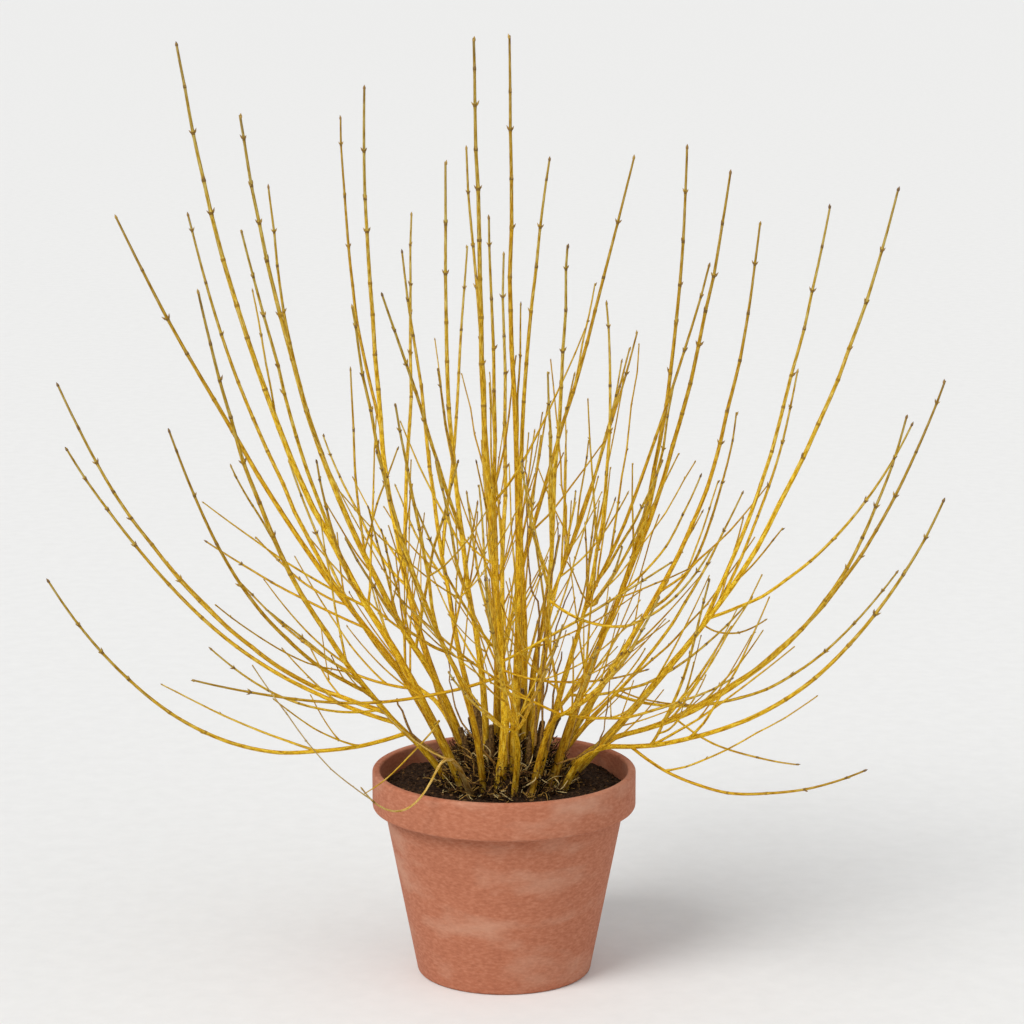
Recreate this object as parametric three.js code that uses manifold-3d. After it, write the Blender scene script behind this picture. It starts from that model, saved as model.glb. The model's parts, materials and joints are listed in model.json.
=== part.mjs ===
// A yellow-stemmed red osier dogwood in winter, bare of leaves, growing in a plain clay pot.
// Millimetres, +Z up. The origin is the centre of the pot's underside, and the front is seen along +Y.
//
// Many stems rise from one woody crown at the soil. Each stem ends at its fork, and a spray of long whippy
// shoots grows on from there, with side twigs in opposite pairs at the joints of the shoots.
import * as THREE from "three";
import { mergeVertices } from "three/addons/utils/BufferGeometryUtils.js";
import Module from "manifold-3d";

const wasm = await Module();
wasm.setup();

// Driving dimensions

const GAP = 0.3; // between pieces that touch

const POT = {
  height: 340,
  rimRadius: 215,
  rimHeight: 62,
  rimWall: 13,
  bodyRadius: 196, // under the rim band
  footRadius: 142,
  bodyWall: 11,
  floor: 18,
  lip: 5, // rounding of the rim's edges
  sides: 36,
};
const SOIL_BELOW_RIM = 25;
const SOIL_LEVEL = POT.height - SOIL_BELOW_RIM;

const CROWN = { radius: 94, height: 64, lobes: 7, lobeDepth: 0.07, sides: 28, rings: 5 };

const STEM_SIDES = 6;
const SHOOT_SIDES = 4;
const TWIG_SIDES = 3;
const STEM_STEPS = 4;
const SHOOT_STEP = 165; // length of a straight piece of a shoot, where it doesn't bow
const STEPS_FOR_BOW = 8; // more pieces for a shoot that bows by its whole length
const TWIG_STEPS = 3;
const TIP_RADIUS = 0.95; // of the shortest shoot
const TIP_GROWTH = 0.0011; // tip radius gained for each mm of a shoot's length
const TWIG_TIP_RADIUS = 1.1;
const SHOOT_TAPER = 0.0033; // radius gained for each mm from the tip, on the first shoot of a stem
const SIDE_TAPER = 0.0026; // the same on the others
const TWIG_TAPER = 0.0045;
const SHOOT_SHARE = 0.92; // a side shoot has at most this share of its parent's radius
const TWIG_SHARE = 0.75;
const SHOOT_FULLNESS = 0.14; // how much fuller than an even taper a shoot is
const FULLEST_LATE = 1.5; // over 1, it is fullest past its middle
const STEM_START = -14; // stems start this far under the soil's top and are cut flat just over it
const STEM_BEND = 0.45; // how far before its fork a stem turns, as a share of its length

const SWAY = 0.006; // a shoot wanders this share of its length off its smooth arc
const SWAY_TURNS = { across: 5, rise: 6.5, share: 0.6 }; // radians along a shoot, and the rise's share
const BOW_AT = 0.42; // where along its chord a shoot sags most

const JOINT_SPACING = [48, 86]; // least and most distance between the joints of a shoot
const TWIG_REACH = { out: 380, up: 490 }; // twigs stand within this distance of the crown
const TWIG_CHANCE = 5; // at the crown, falling to none at that distance
const TWIG_LENGTH = [100, 340];
const TWIG_SPLAY = [0.32, 0.66]; // radians between a twig and its shoot
const TWIG_RISE = [0.2, 0.9]; // how strongly a twig turns upwards
const TWIG_TURN_AT = 0.36; // the share of a twig where it turns
const TWIG_STEEPNESS = 0.2; // a twig sets out at least this steeply, as the rise of a unit step
const TWIG_CLEARANCE = 1.2;
const TWIG_LOWEST = SOIL_BELOW_RIM + 8; // height over the soil, which clears the rim
const CLEARANCE_SAMPLES = 24; // places along a twig where its clearance is measured
const FREE_LENGTH = 2.5; // the clearance starts this many radii of the shoot along a twig

// How the front is sighted: the plant was measured as it is seen from this far, looking down by this pitch
// at a point this high over the soil.
const SIGHT = { distance: 5000, pitch: THREE.MathUtils.degToRad(9), height: 619, up: 600, across: 13 };

// The stems. foot is the place in the crown [x, y] and girth the radius there. fork is where the stem ends
// and its spray begins. A fork or a tip is [across, up, depth]: across and up as sighted from the front, from
// the middle of the crown, and depth away from the viewer. Each shoot is [across, up, depth of its tip, bow,
// from, of]: bow is the sag under its chord as a share of its length, from is the share of the parent's length
// where it leaves it, and of is the parent's place in the list, the first shoot unless given. The first shoot
// carries on from the stem.
const STEMS = [
  { name: "left_low", foot: [-80, -22], girth: 6.2, fork: [-142, 66, -48],
    shoots: [[-489, 792, -215, 0.15], [-733, 330, -150, 0.4, 0.03], [-702, 540, 30, 0.21, 0.065],
      [-715, 643, 150, 0.26, 0.1], [-474, 219, -190, 0.23, 0.11], [-537, 570, -330, 0.2, 0.16],
      [-382, 280, -300, 0, 0.18], [-438, 511, -300, 0.03, 0.52]] },
  { name: "left_lower", foot: [-66, 4], girth: 7, fork: [-208, 232, 20],
    shoots: [[-621, 910, 130, 0.065], [-505, 914, 310, 0.14, 0.04], [-481, 390, 190, 0.05, 0.03],
      [-399, 396, 300, 0.1, 0.1]] },
  { name: "left_main", foot: [-60, -48], girth: 7.6, fork: [-196, 246, -90],
    shoots: [[-522, 1185, -70, 0.1], [-420, 888, -330, 0.05, 0.13], [-402, 793, -10, -0.03, 0.42],
      [-300, 520, -420, 0.15, 0.08]] },
  { name: "left_inner", foot: [-44, -14], girth: 7.4, fork: [-129, 196, -20],
    shoots: [[-421, 1071, -130, 0.105], [-376, 959, -230, 0.11, 0.46], [-245, 668, -90, 0.06, 0.24],
      [-168, 540, -160, -0.03, 0.25], [-72, 519, -300, -0.04, 0.03], [-218, 447, -190, 0.03, 0.1],
      [-197, 410, -150, -0.02, 0.05]] },
  { name: "left_back", foot: [-38, 34], girth: 7, fork: [-147, 286, 140],
    shoots: [[-222, 1116, 300, 0.16], [-260, 1068, 420, 0.16, 0.38], [-147, 914, 540, 0, 0.07],
      [-290, 560, 520, 0.14, 0.04]] },
  { name: "left_front", foot: [-32, -73], girth: 6.2, fork: [-82, 190, -150],
    shoots: [[-243, 768, -330, 0.1], [-174, 610, -520, 0, 0.12], [-255, 395, -520, 0.12, 0.05],
      [-205, 535, -430, 0.05, 0.2], [-41, 455, -210, 0.02, 0.03]] },
  { name: "inner_left_back", foot: [-14, 60], girth: 6.2, fork: [-81, 260, 130],
    shoots: [[-163, 855, 400, 0.03], [-119, 535, 560, 0.1, 0.1], [-58, 862, 520, 0.04, 0.2],
      [-175, 480, 470, 0.1, 0.12]] },
  { name: "inner_left_front", foot: [-28, -34], girth: 6.6, fork: [-46, 250, -85],
    shoots: [[-93, 997, -130, 0.06], [-196, 786, -470, 0, 0.24], [-106, 665, -400, 0.01, 0.4],
      [-108, 523, -420, 0.08, 0.06]] },
  { name: "centre", foot: [-13, -77], girth: 10.4, fork: [0, 151, -80],
    shoots: [[-48, 1193, -30, 0.02], [-504, 166, -215, 0.16, 0.025], [235, 183, -230, 0.16, 0.035],
      [-152, 470, -250, 0.08, 0.06], [272, 356, -330, 0.02, 0.05]] },
  { name: "centre_strong", foot: [9, -66], girth: 9, fork: [23, 380, -50],
    shoots: [[9, 1197, 120, 0.02], [27, 772, 60, 0.02, 0.2]] },
  { name: "centre_left", foot: [-14, 10], girth: 7.6, fork: [-12, 330, 0],
    shoots: [[-24, 910, -140, 0.02], [-110, 520, 60, 0.3, 0.04], [-60, 1020, 250, 0.05, 0.1],
      [-45, 520, -90, 0.02, 0.1]] },
  { name: "centre_right", foot: [24, -8], girth: 8, fork: [30, 330, 10],
    shoots: [[74, 1003, 20, -0.05], [209, 1005, 90, 0.01, 0.03], [146, 802, 190, 0.02, 0.5, 1],
      [72, 617, 160, 0.06, 0.1], [114, 660, 20, 0.02, 0.12, 1],
      [50, 570, 90, 0.02, 0.14]] },
  { name: "centre_back", foot: [8, 50], girth: 7, fork: [-2, 150, 80],
    shoots: [[0, 851, 430, 0.02], [-40, 480, 600, 0.12, 0.04], [60, 560, 560, 0.1, 0.08],
      [-24, 330, 240, 0.08, 0.03]] },
  { name: "inner_right_front", foot: [27, -58], girth: 7, fork: [72, 284, -120],
    shoots: [[102, 864, -400, 0.02], [70, 660, -500, -0.05, 0.2], [27, 520, -480, 0.06, 0.05],
      [335, 380, -400, 0.38, 0.02], [72, 565, -250, -0.02, 0.18]] },
  { name: "right_leaning", foot: [44, 24], girth: 7.2, fork: [85, 320, 60],
    shoots: [[214, 726, 220, 0.055], [202, 700, 300, 0.06, 0.05], [189, 681, 150, 0.03, 0.42],
      [115, 470, 400, 0.08, 0.05], [201, 470, 100, 0.15, 0.03], [136, 553, 60, -0.02, 0.22],
      [100, 568, 150, -0.02, 0.05]] },
  { name: "right_front", foot: [44, -68], girth: 7, fork: [125, 262, -90],
    shoots: [[163, 774, -110, 0.1], [255, 520, -400, 0.08, 0.12], [190, 380, -480, 0.12, 0.06],
      [232, 452, -300, 0.1, 0.04], [145, 433, -270, 0.02, 0.05], [130, 420, -190, 0.03, 0.08],
      [329, 834, -130, 0.045, 0.03], [180, 460, -130, 0, 0.28]] },
  { name: "right_main", foot: [70, -50], girth: 8.4, fork: [180, 286, -70],
    shoots: [[362, 982, -110, 0.065], [292, 1022, -120, 0.08, 0.03], [273, 646, -330, 0.06, 0.14],
      [300, 345, -120, 0.05, 0.02], [317, 498, -190, 0.15, 0.04]] },
  { name: "right_back", foot: [58, 36], girth: 7.2, fork: [219, 256, 110],
    shoots: [[409, 900, 260, 0.155], [372, 598, 380, 0.34, 0.04], [300, 420, 480, 0.1, 0.08],
      [344, 488, 330, 0.02, 0.3, 1], [320, 440, 200, 0, 0.18]] },
  { name: "right_outer", foot: [84, -10], girth: 8, fork: [303, 232, 0],
    shoots: [[630, 955, 10, 0.11], [521, 927, 120, 0.085, 0.03], [470, 665, 230, 0.18, 0.05],
      [655, 580, -150, 0.2, 0.06], [448, 411, -90, 0.05, 0.16], [423, 264, 130, 0.22, 0.04],
      [384, 429, 170, 0.08, 0.09]] },
  { name: "right_low", foot: [78, 18], girth: 6.6, fork: [196, 78, 60],
    shoots: [[645, 593, 170, 0.32], [706, 648, 330, 0.27, 0.03], [477, 28, -20, 0.16, 0.12],
      [366, 254, 250, 0.05, 0.08]] },
  { name: "right_lowest", foot: [94, -42], girth: 7, fork: [176, 58, -95],
    shoots: [[706, 459, -250, 0.3], [585, 22, -360, 0.27, 0.04], [330, 330, -420, 0.1, 0.09]] },
  { name: "right_inner_low", foot: [62, 58], girth: 6, fork: [166, 130, 150],
    shoots: [[384, 470, 440, 0.12], [633, 343, 380, 0.36, 0.05], [331, 126, 230, 0.13, 0.08]] },
  { name: "back_low", foot: [14, 80], girth: 6, fork: [10, 140, 190],
    shoots: [[-60, 470, 660, 0.2], [90, 400, 700, 0.2, 0.06], [15, 260, 620, 0.14, 0.08]] },
  { name: "back_left_low", foot: [-54, 58], girth: 6.2, fork: [-120, 140, 170],
    shoots: [[-345, 520, 590, 0.2], [-430, 330, 430, 0.2, 0.05], [-215, 330, 640, 0.16, 0.08]] },
  { name: "back_right_low", foot: [40, 72], girth: 6, fork: [96, 130, 190],
    shoots: [[235, 480, 620, 0.2], [400, 300, 520, 0.22, 0.06], [170, 300, 680, 0.16, 0.09]] },
  { name: "front_low", foot: [14, -88], girth: 5.6, fork: [20, 72, -170],
    shoots: [[-30, 330, -600, 0.08], [95, 255, -640, 0.08, 0.08], [-90, 180, -560, 0.08, 0.1]] },
  { name: "front_loop", foot: [-50, -80], girth: 5.2, fork: [-110, 15, -190],
    shoots: [[-232, -4, -265, 0.77]] },
  { name: "front_right_low", foot: [40, -90], girth: 5.8, fork: [90, 108, -130],
    shoots: [[250, 300, -560, 0.1], [370, 170, -470, 0.12, 0.06], [-178, 310, -210, 0.1, 0.02],
      [150, 220, -600, 0.08, 0.09],
      [48, 405, -330, 0.04, 0.03], [192, 212, -230, 0.03, 0.04]] },
];

// Colours

const finish = (color, roughness) => new THREE.MeshStandardMaterial({ color, roughness, metalness: 0 });
const STEM_BARK = finish(0xb98a26, 0.55);
const SHOOT_BARK = finish(0xc59a3a, 0.5);
const CLAY = finish(0xb0603c, 0.85);
const SOIL = finish(0x2b2019, 0.95);
const CROWN_WOOD = finish(0x3b2a1e, 0.9);

// Small helpers

const { lerp } = THREE.MathUtils;

// A repeatable row of numbers from 0 to 1.
function seeded(seed) {
  let state = seed >>> 0;
  return () => {
    state = (state + 0x6d2b79f5) >>> 0;
    let mixed = Math.imul(state ^ (state >>> 15), 1 | state);
    mixed = (mixed + Math.imul(mixed ^ (mixed >>> 7), 61 | mixed)) ^ mixed;
    return ((mixed ^ (mixed >>> 14)) >>> 0) / 4294967296;
  };
}

// The real place, from the middle of the crown at the soil, of a point sighted from the front.
function sighted([across, up, depth]) {
  const sin = Math.sin(SIGHT.pitch);
  const cos = Math.cos(SIGHT.pitch);
  const rise = up - SIGHT.up;
  const lift = (rise * (SIGHT.distance + depth * cos) - SIGHT.distance * depth * sin) /
    (SIGHT.distance * cos + rise * sin);
  const nearness = 1 + (depth * cos - lift * sin) / SIGHT.distance;
  return new THREE.Vector3(SIGHT.across + (across - SIGHT.across) * nearness, depth, SIGHT.height + lift);
}

// Curves of stems, shoots and twigs

// An arc with a gentle sway, and a frame along it whose first side lies level across the arc.
class Limb extends THREE.Curve {
  constructor(start, control, end, sway, phase) {
    super();
    this.arc = new THREE.QuadraticBezierCurve3(start, control, end);
    this.length = this.arc.getLength();
    this.sway = sway * this.length;
    this.phase = phase;
    const plan = new THREE.Vector3(end.x - start.x, end.y - start.y, 0);
    if (plan.length() < 1) plan.set(1, 0, 0);
    this.across = new THREE.Vector3(-plan.y, plan.x, 0).normalize();
  }
  getPoint(t) {
    const point = this.arc.getPoint(t);
    const swing = this.sway * Math.sin(Math.PI * t) ** 2;
    point.addScaledVector(this.across, swing * Math.sin(this.phase + SWAY_TURNS.across * t));
    point.z += SWAY_TURNS.share * swing * Math.sin(2 * this.phase + SWAY_TURNS.rise * t);
    return point;
  }
  frame(t) {
    const ahead = this.getPoint(Math.min(t + 0.01, 1));
    const tangent = ahead.sub(this.getPoint(Math.max(t - 0.01, 0))).normalize();
    const side = this.across.clone().addScaledVector(tangent, -this.across.dot(tangent)).normalize();
    return { tangent, side, over: tangent.clone().cross(side) };
  }
}

// A shoot's control point: on its chord, then down square to the chord by its bow.
function sagged(start, end, bow) {
  const chord = end.clone().sub(start);
  const length = chord.length();
  const along = chord.clone().normalize();
  const down = new THREE.Vector3(0, 0, -1).addScaledVector(along, along.z);
  if (down.length() > 1e-6) down.normalize();
  return start.clone().addScaledVector(chord, BOW_AT).addScaledVector(down, bow * length);
}

// Solids

// The outline turned about Z, closed on the axis at both ends.
function turned(outline, sides) {
  const geometry = new THREE.LatheGeometry(outline.map(([x, y]) => new THREE.Vector2(x, y)), sides);
  return geometry.rotateX(Math.PI / 2);
}

// A round limb: a cylinder whose rings are laid along the curve, each at its own radius.
function limbGeometry(limb, radiusAt, sides, steps) {
  const geometry = new THREE.CylinderGeometry(1, 1, 1, sides, steps);
  const place = geometry.getAttribute("position");
  for (let i = 0; i < place.count; i++) {
    const t = Math.round((place.getY(i) + 0.5) * steps) / steps;
    const { side, over } = limb.frame(t);
    const radius = radiusAt(t);
    const point = limb.getPoint(t)
      .addScaledVector(side, -radius * place.getX(i))
      .addScaledVector(over, radius * place.getZ(i));
    place.setXYZ(i, point.x, point.y, point.z);
  }
  return geometry;
}

function toSolid(geometry) {
  const bare = geometry.clone();
  bare.deleteAttribute("normal");
  bare.deleteAttribute("uv");
  const merged = mergeVertices(bare, 1e-4);
  return new wasm.Manifold(new wasm.Mesh({
    numProp: 3,
    vertProperties: new Float32Array(merged.getAttribute("position").array),
    triVerts: new Uint32Array(merged.index.array),
  }));
}

function toGeometry(solid) {
  const mesh = solid.getMesh();
  const geometry = new THREE.BufferGeometry();
  geometry.setAttribute("position", new THREE.BufferAttribute(new Float32Array(mesh.vertProperties), 3));
  geometry.setIndex(new THREE.BufferAttribute(new Uint32Array(mesh.triVerts), 1));
  geometry.computeVertexNormals();
  return geometry;
}

// The pot, the soil in it and the crown on the soil

function potGeometry() {
  const inner = POT.rimRadius - POT.rimWall;
  const underRim = POT.height - POT.rimHeight;
  return turned([
    [0, 0],
    [POT.footRadius - POT.lip, 0],
    [POT.footRadius, POT.lip],
    [POT.bodyRadius, underRim],
    [POT.rimRadius - POT.lip / 2, underRim],
    [POT.rimRadius, underRim + POT.lip],
    [POT.rimRadius, POT.height - POT.lip],
    [POT.rimRadius - POT.lip, POT.height],
    [inner + POT.lip, POT.height],
    [inner, POT.height - POT.lip],
    [POT.bodyRadius - POT.bodyWall, underRim],
    [POT.footRadius - POT.bodyWall, POT.floor],
    [0, POT.floor],
  ], POT.sides);
}

// The pot's inner radius at a height, with the clearance that the soil keeps.
function soilRadius(height) {
  const underRim = POT.height - POT.rimHeight;
  const low = POT.footRadius - POT.bodyWall;
  const high = POT.bodyRadius - POT.bodyWall;
  const top = POT.rimRadius - POT.rimWall;
  const radius = height < underRim
    ? lerp(low, high, (height - POT.floor) / (underRim - POT.floor))
    : lerp(high, top, (height - underRim) / (POT.rimHeight - POT.lip));
  return radius - 2 * GAP;
}

function soilGeometry() {
  const underRim = POT.height - POT.rimHeight;
  const bottom = POT.floor + GAP;
  return turned([
    [0, bottom],
    [soilRadius(bottom), bottom],
    [soilRadius(underRim), underRim],
    [soilRadius(SOIL_LEVEL), SOIL_LEVEL],
    [0, SOIL_LEVEL],
  ], POT.sides);
}

// The crown is a low lobed mound. grown makes it that much larger, to cut the stems clear of it.
function crownGeometry(grown = 0) {
  const outline = [[0, grown ? -CROWN.height : GAP]];
  if (grown) outline.push([CROWN.radius + grown, -CROWN.height]);
  for (let i = 0; i < CROWN.rings; i++) {
    const turn = (i / CROWN.rings) * (Math.PI / 2);
    outline.push([(CROWN.radius + grown) * Math.cos(turn), GAP + (CROWN.height + grown) * Math.sin(turn)]);
  }
  outline.push([0, GAP + CROWN.height + grown]);
  const geometry = turned(outline, CROWN.sides);
  const place = geometry.getAttribute("position");
  for (let i = 0; i < place.count; i++) {
    const turn = Math.atan2(place.getY(i), place.getX(i));
    const lobe = 1 - CROWN.lobeDepth * (0.5 + 0.5 * Math.cos(CROWN.lobes * turn));
    place.setXYZ(i, place.getX(i) * lobe, place.getY(i) * lobe, place.getZ(i));
  }
  return geometry;
}

// The plant's limbs, as curves with radii

// The stems and shoots: { node, kind, curve, radii: [start, end], sides, steps, parent, random }.
function growLimbs() {
  const limbs = [];
  STEMS.forEach((stem, index) => {
    const fork = sighted(stem.fork);
    const shoots = [];
    stem.shoots.forEach(([across, up, depth, bow, from = 0, of = 0], place) => {
      const random = seeded(100 * (index + 1) + place);
      const parent = place ? shoots[of] : null;
      const start = parent ? parent.curve.getPoint(from) : fork;
      const end = sighted([across, up, depth]);
      const curve = new Limb(start, sagged(start, end, bow), end, SWAY, 2 * Math.PI * random());
      const tip = TIP_RADIUS + TIP_GROWTH * curve.length;
      const base = parent
        ? Math.min(tip + SIDE_TAPER * curve.length, SHOOT_SHARE * radiusOf(parent, from))
        : tip + SHOOT_TAPER * curve.length;
      shoots.push({
        node: `spray_${stem.name}`,
        kind: "shoot",
        curve,
        radii: [base, Math.min(tip, base)],
        sides: SHOOT_SIDES,
        steps: Math.ceil(1 + curve.length / SHOOT_STEP + STEPS_FOR_BOW * Math.abs(bow)),
        parent,
        random,
      });
    });
    limbs.push(growStem(stem, fork, shoots[0]), ...shoots);
  });
  return limbs;
}

// A stem runs from its foot to its fork, where it has the heading and the radius of its first shoot.
function growStem(stem, fork, shoot) {
  const foot = new THREE.Vector3(stem.foot[0], stem.foot[1], STEM_START);
  const heading = shoot.curve.frame(0).tangent;
  const bend = fork.clone().addScaledVector(heading, -STEM_BEND * fork.distanceTo(foot));
  return {
    node: `stem_${stem.name}`,
    kind: "stem",
    curve: new Limb(foot, bend, fork, 0, 0),
    radii: [stem.girth, shoot.radii[0]],
    sides: STEM_SIDES,
    steps: STEM_STEPS,
    parent: null,
  };
}

// An even taper, fuller past the middle on a shoot.
function radiusOf(limb, t) {
  const fuller = limb.kind === "shoot" ? SHOOT_FULLNESS * Math.sin(Math.PI * t ** FULLEST_LATE) : 0;
  return (1 + fuller) * lerp(limb.radii[0], limb.radii[1], t);
}

// The joints of a shoot, as shares of its length.
function jointsOf({ curve, random }) {
  const joints = [];
  let along = lerp(...JOINT_SPACING, random());
  while (along < curve.length - JOINT_SPACING[0] / 2) {
    joints.push(along / curve.length);
    along += lerp(...JOINT_SPACING, random());
  }
  return joints;
}

// Side twigs stand at the joints of the shoots in opposite pairs, each pair square to the last, and mostly
// near the crown. One that would come near another limb is left out.
function growTwigs(limbs) {
  const taken = new Map(limbs.map((limb) => [limb, straightPieces(limb)]));
  const twigs = [];
  for (const shoot of limbs.filter((limb) => limb.kind === "shoot")) {
    jointsOf(shoot).forEach((t, place) => {
      for (const hand of [1, -1]) {
        const twig = growTwig(shoot, t, place, hand);
        if (!twig || comesNear(twig, taken)) continue;
        taken.set(twig, straightPieces(twig));
        twigs.push(twig);
      }
    });
  }
  return twigs;
}

function growTwig(shoot, t, place, hand) {
  const { curve, random } = shoot;
  const [chance, reach, spread, lift] = [random(), random(), random(), random()];
  const { tangent, side, over } = curve.frame(t);
  const turn = curve.phase + place * (Math.PI / 2);
  const outward = side.multiplyScalar(Math.cos(turn)).addScaledVector(over, Math.sin(turn));
  const splay = lerp(...TWIG_SPLAY, spread);
  const heading = tangent.multiplyScalar(Math.cos(splay)).addScaledVector(outward, hand * Math.sin(splay));
  const start = curve.getPoint(t);
  const out = Math.hypot(start.x, start.y) / TWIG_REACH.out;
  const odds = TWIG_CHANCE * (1 - Math.hypot(out, start.z / TWIG_REACH.up));
  if (chance > odds || heading.z < TWIG_STEEPNESS) return null;
  const length = lerp(...TWIG_LENGTH, reach);
  const radius = Math.min(TWIG_TIP_RADIUS + TWIG_TAPER * length, TWIG_SHARE * radiusOf(shoot, t));
  const control = start.clone().addScaledVector(heading, TWIG_TURN_AT * length);
  heading.z += lerp(...TWIG_RISE, lift);
  const end = control.clone().addScaledVector(heading.normalize(), (1 - TWIG_TURN_AT) * length);
  return {
    node: shoot.node,
    kind: "twig",
    curve: new Limb(start, control, end, 0, 0),
    radii: [radius, TWIG_TIP_RADIUS],
    sides: TWIG_SIDES,
    steps: TWIG_STEPS,
    parent: shoot,
  };
}

// The limb as straight pieces with their widest radius, for measuring how near others come.
function straightPieces(limb) {
  const made = [];
  for (let i = 0; i < limb.steps; i++) {
    const [low, high] = [i / limb.steps, (i + 1) / limb.steps];
    made.push([limb.curve.getPoint(low), limb.curve.getPoint(high), radiusOf(limb, low)]);
  }
  return made;
}

function distanceToPiece(point, [a, b]) {
  const ab = b.clone().sub(a);
  const share = THREE.MathUtils.clamp(point.clone().sub(a).dot(ab) / ab.lengthSq(), 0, 1);
  return point.distanceTo(a.clone().addScaledVector(ab, share));
}

function comesNear(twig, taken) {
  const free = (FREE_LENGTH * twig.parent.radii[0]) / twig.curve.length;
  for (let i = 0; i <= CLEARANCE_SAMPLES; i++) {
    const point = twig.curve.getPoint(lerp(free, 1, i / CLEARANCE_SAMPLES));
    if (point.z < TWIG_LOWEST) return true;
    for (const [limb, parts] of taken) {
      if (limb === twig.parent) continue;
      for (const part of parts) {
        if (distanceToPiece(point, part) < part[2] + twig.radii[0] + TWIG_CLEARANCE) return true;
      }
    }
  }
  return false;
}

// The whole plant in its pot

const group = new THREE.Group();

function add(name, geometry, material, parent = group) {
  const mesh = new THREE.Mesh(geometry, material);
  mesh.name = name;
  parent.add(mesh);
}

add("pot", potGeometry(), CLAY);
add("soil", soilGeometry(), SOIL);

const plant = new THREE.Group();
plant.position.z = SOIL_LEVEL;
group.add(plant);
add("crown", crownGeometry(), CROWN_WOOD, plant);

const limbs = growLimbs();
const twigs = growTwigs(limbs);

// Everything below the flat cut at the soil, and the crown with a gap round it.
const soilBlock = new THREE.BoxGeometry(4 * CROWN.radius, 4 * CROWN.radius, CROWN.height);
soilBlock.translate(0, 0, GAP - CROWN.height / 2);
const stemCut = toSolid(crownGeometry(GAP)).add(toSolid(soilBlock));

function limbSolid(limb) {
  const { curve, sides, steps } = limb;
  return toSolid(limbGeometry(curve, (t) => radiusOf(limb, t), sides, steps));
}

for (const stem of STEMS) {
  const own = limbs.find((limb) => limb.node === `stem_${stem.name}`);
  add(own.node, toGeometry(limbSolid(own).subtract(stemCut)), STEM_BARK, plant);
  const node = `spray_${stem.name}`;
  const parts = [...limbs, ...twigs].filter((limb) => limb.node === node);
  // The spray starts a hair past the end of its stem.
  const seam = parts[0].curve.frame(0).tangent.multiplyScalar(GAP);
  const spray = wasm.Manifold.union(parts.map(limbSolid)).translate(seam.x, seam.y, seam.z);
  add(node, toGeometry(spray), SHOOT_BARK, plant);
}

export default group;
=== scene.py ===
"""Looks for a yellow-stemmed dogwood in winter, bare of leaves, that grows in a plain clay pot.

The limbs grow here by the same seeded rule as in the part's source, in millimetres from the middle of the
crown at the soil. The scene carries the rule on to finer twigs and adds joints, buds and bark.
"""
import itertools
import json
import math

import bpy
import numpy as np
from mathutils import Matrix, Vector, noise

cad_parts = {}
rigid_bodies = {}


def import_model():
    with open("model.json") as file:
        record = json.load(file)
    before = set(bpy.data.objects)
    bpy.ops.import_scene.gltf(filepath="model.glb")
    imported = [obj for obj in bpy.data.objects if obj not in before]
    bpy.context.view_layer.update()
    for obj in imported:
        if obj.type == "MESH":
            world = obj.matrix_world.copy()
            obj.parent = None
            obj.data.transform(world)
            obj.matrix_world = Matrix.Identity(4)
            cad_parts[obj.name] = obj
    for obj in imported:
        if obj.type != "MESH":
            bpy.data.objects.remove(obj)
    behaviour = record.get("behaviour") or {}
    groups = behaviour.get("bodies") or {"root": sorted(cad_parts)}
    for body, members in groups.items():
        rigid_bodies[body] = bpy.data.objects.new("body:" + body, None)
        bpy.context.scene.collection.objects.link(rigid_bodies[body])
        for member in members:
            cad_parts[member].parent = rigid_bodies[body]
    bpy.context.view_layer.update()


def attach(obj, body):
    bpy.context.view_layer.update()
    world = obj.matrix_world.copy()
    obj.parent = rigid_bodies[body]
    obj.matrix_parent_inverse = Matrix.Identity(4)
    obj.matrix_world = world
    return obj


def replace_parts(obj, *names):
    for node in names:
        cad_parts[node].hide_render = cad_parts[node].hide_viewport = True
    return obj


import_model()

# Sizes of the pot, the soil and the crown, in millimetres

POT_HEIGHT = 340
RIM_RADIUS = 215
RIM_HEIGHT = 62
RIM_WALL = 13
BODY_RADIUS = 196
FOOT_RADIUS = 142
BODY_WALL = 11
POT_FLOOR = 18
LIP = 5
SOIL_BELOW_RIM = 25
SOIL_LEVEL = POT_HEIGHT - SOIL_BELOW_RIM
CROWN_RADIUS = 94
CROWN_HEIGHT = 64
CROWN_LOBES = 7

# Sizes of the limbs, as in the part's source

STEM_STEPS = 4  # straight pieces of a limb, as in the solids
SHOOT_STEP = 165
STEPS_FOR_BOW = 8
TWIG_STEPS = 3
TIP_RADIUS = 0.95
TIP_GROWTH = 0.0011  # what each mm of a shoot's length adds to its tip's radius
SHOOT_TAPER = 0.0033
SIDE_TAPER = 0.0026
SHOOT_SHARE = 0.92  # of the radius of the shoot that it leaves
TWIG_SHARE = 0.75
SHOOT_FULLNESS, FULLEST_LATE = 0.14, 1.5
STEM_START = -14
STEM_BEND = 0.45
SWAY = 0.006
SWAY_ACROSS, SWAY_RISE, RISE_SHARE = 5, 6.5, 0.6
BOW_AT = 0.42
LENGTH_MARKS = 201  # the points through which a limb's length is measured
HEADING_REACH = 0.01  # the share of a limb to either side that gives its heading
JOINT_SPACING = (48, 86)
TWIG_OUT = 380  # how far out from the crown side twigs grow
TWIG_SPLAY = (0.32, 0.66)
TWIG_RISE = (0.2, 0.9)
TWIG_TURN_AT = 0.36
TWIG_STEEPNESS = 0.2
TWIG_CLEARANCE = 1.2
TWIG_LOWEST = SOIL_BELOW_RIM + 8
CLEARANCE_SAMPLES = 24
FREE_LENGTH = 2.5  # the stretch of a twig that may lie near others, in radii of its parent

# How the front is sighted: distance, pitch and the height and place across of the point looked at

SIGHT_DISTANCE = 5000
SIGHT_PITCH = math.radians(9)
SIGHT_HEIGHT = 619
SIGHT_UP = 600
SIGHT_ACROSS = 13

# Finer growth that only the scene has

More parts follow.
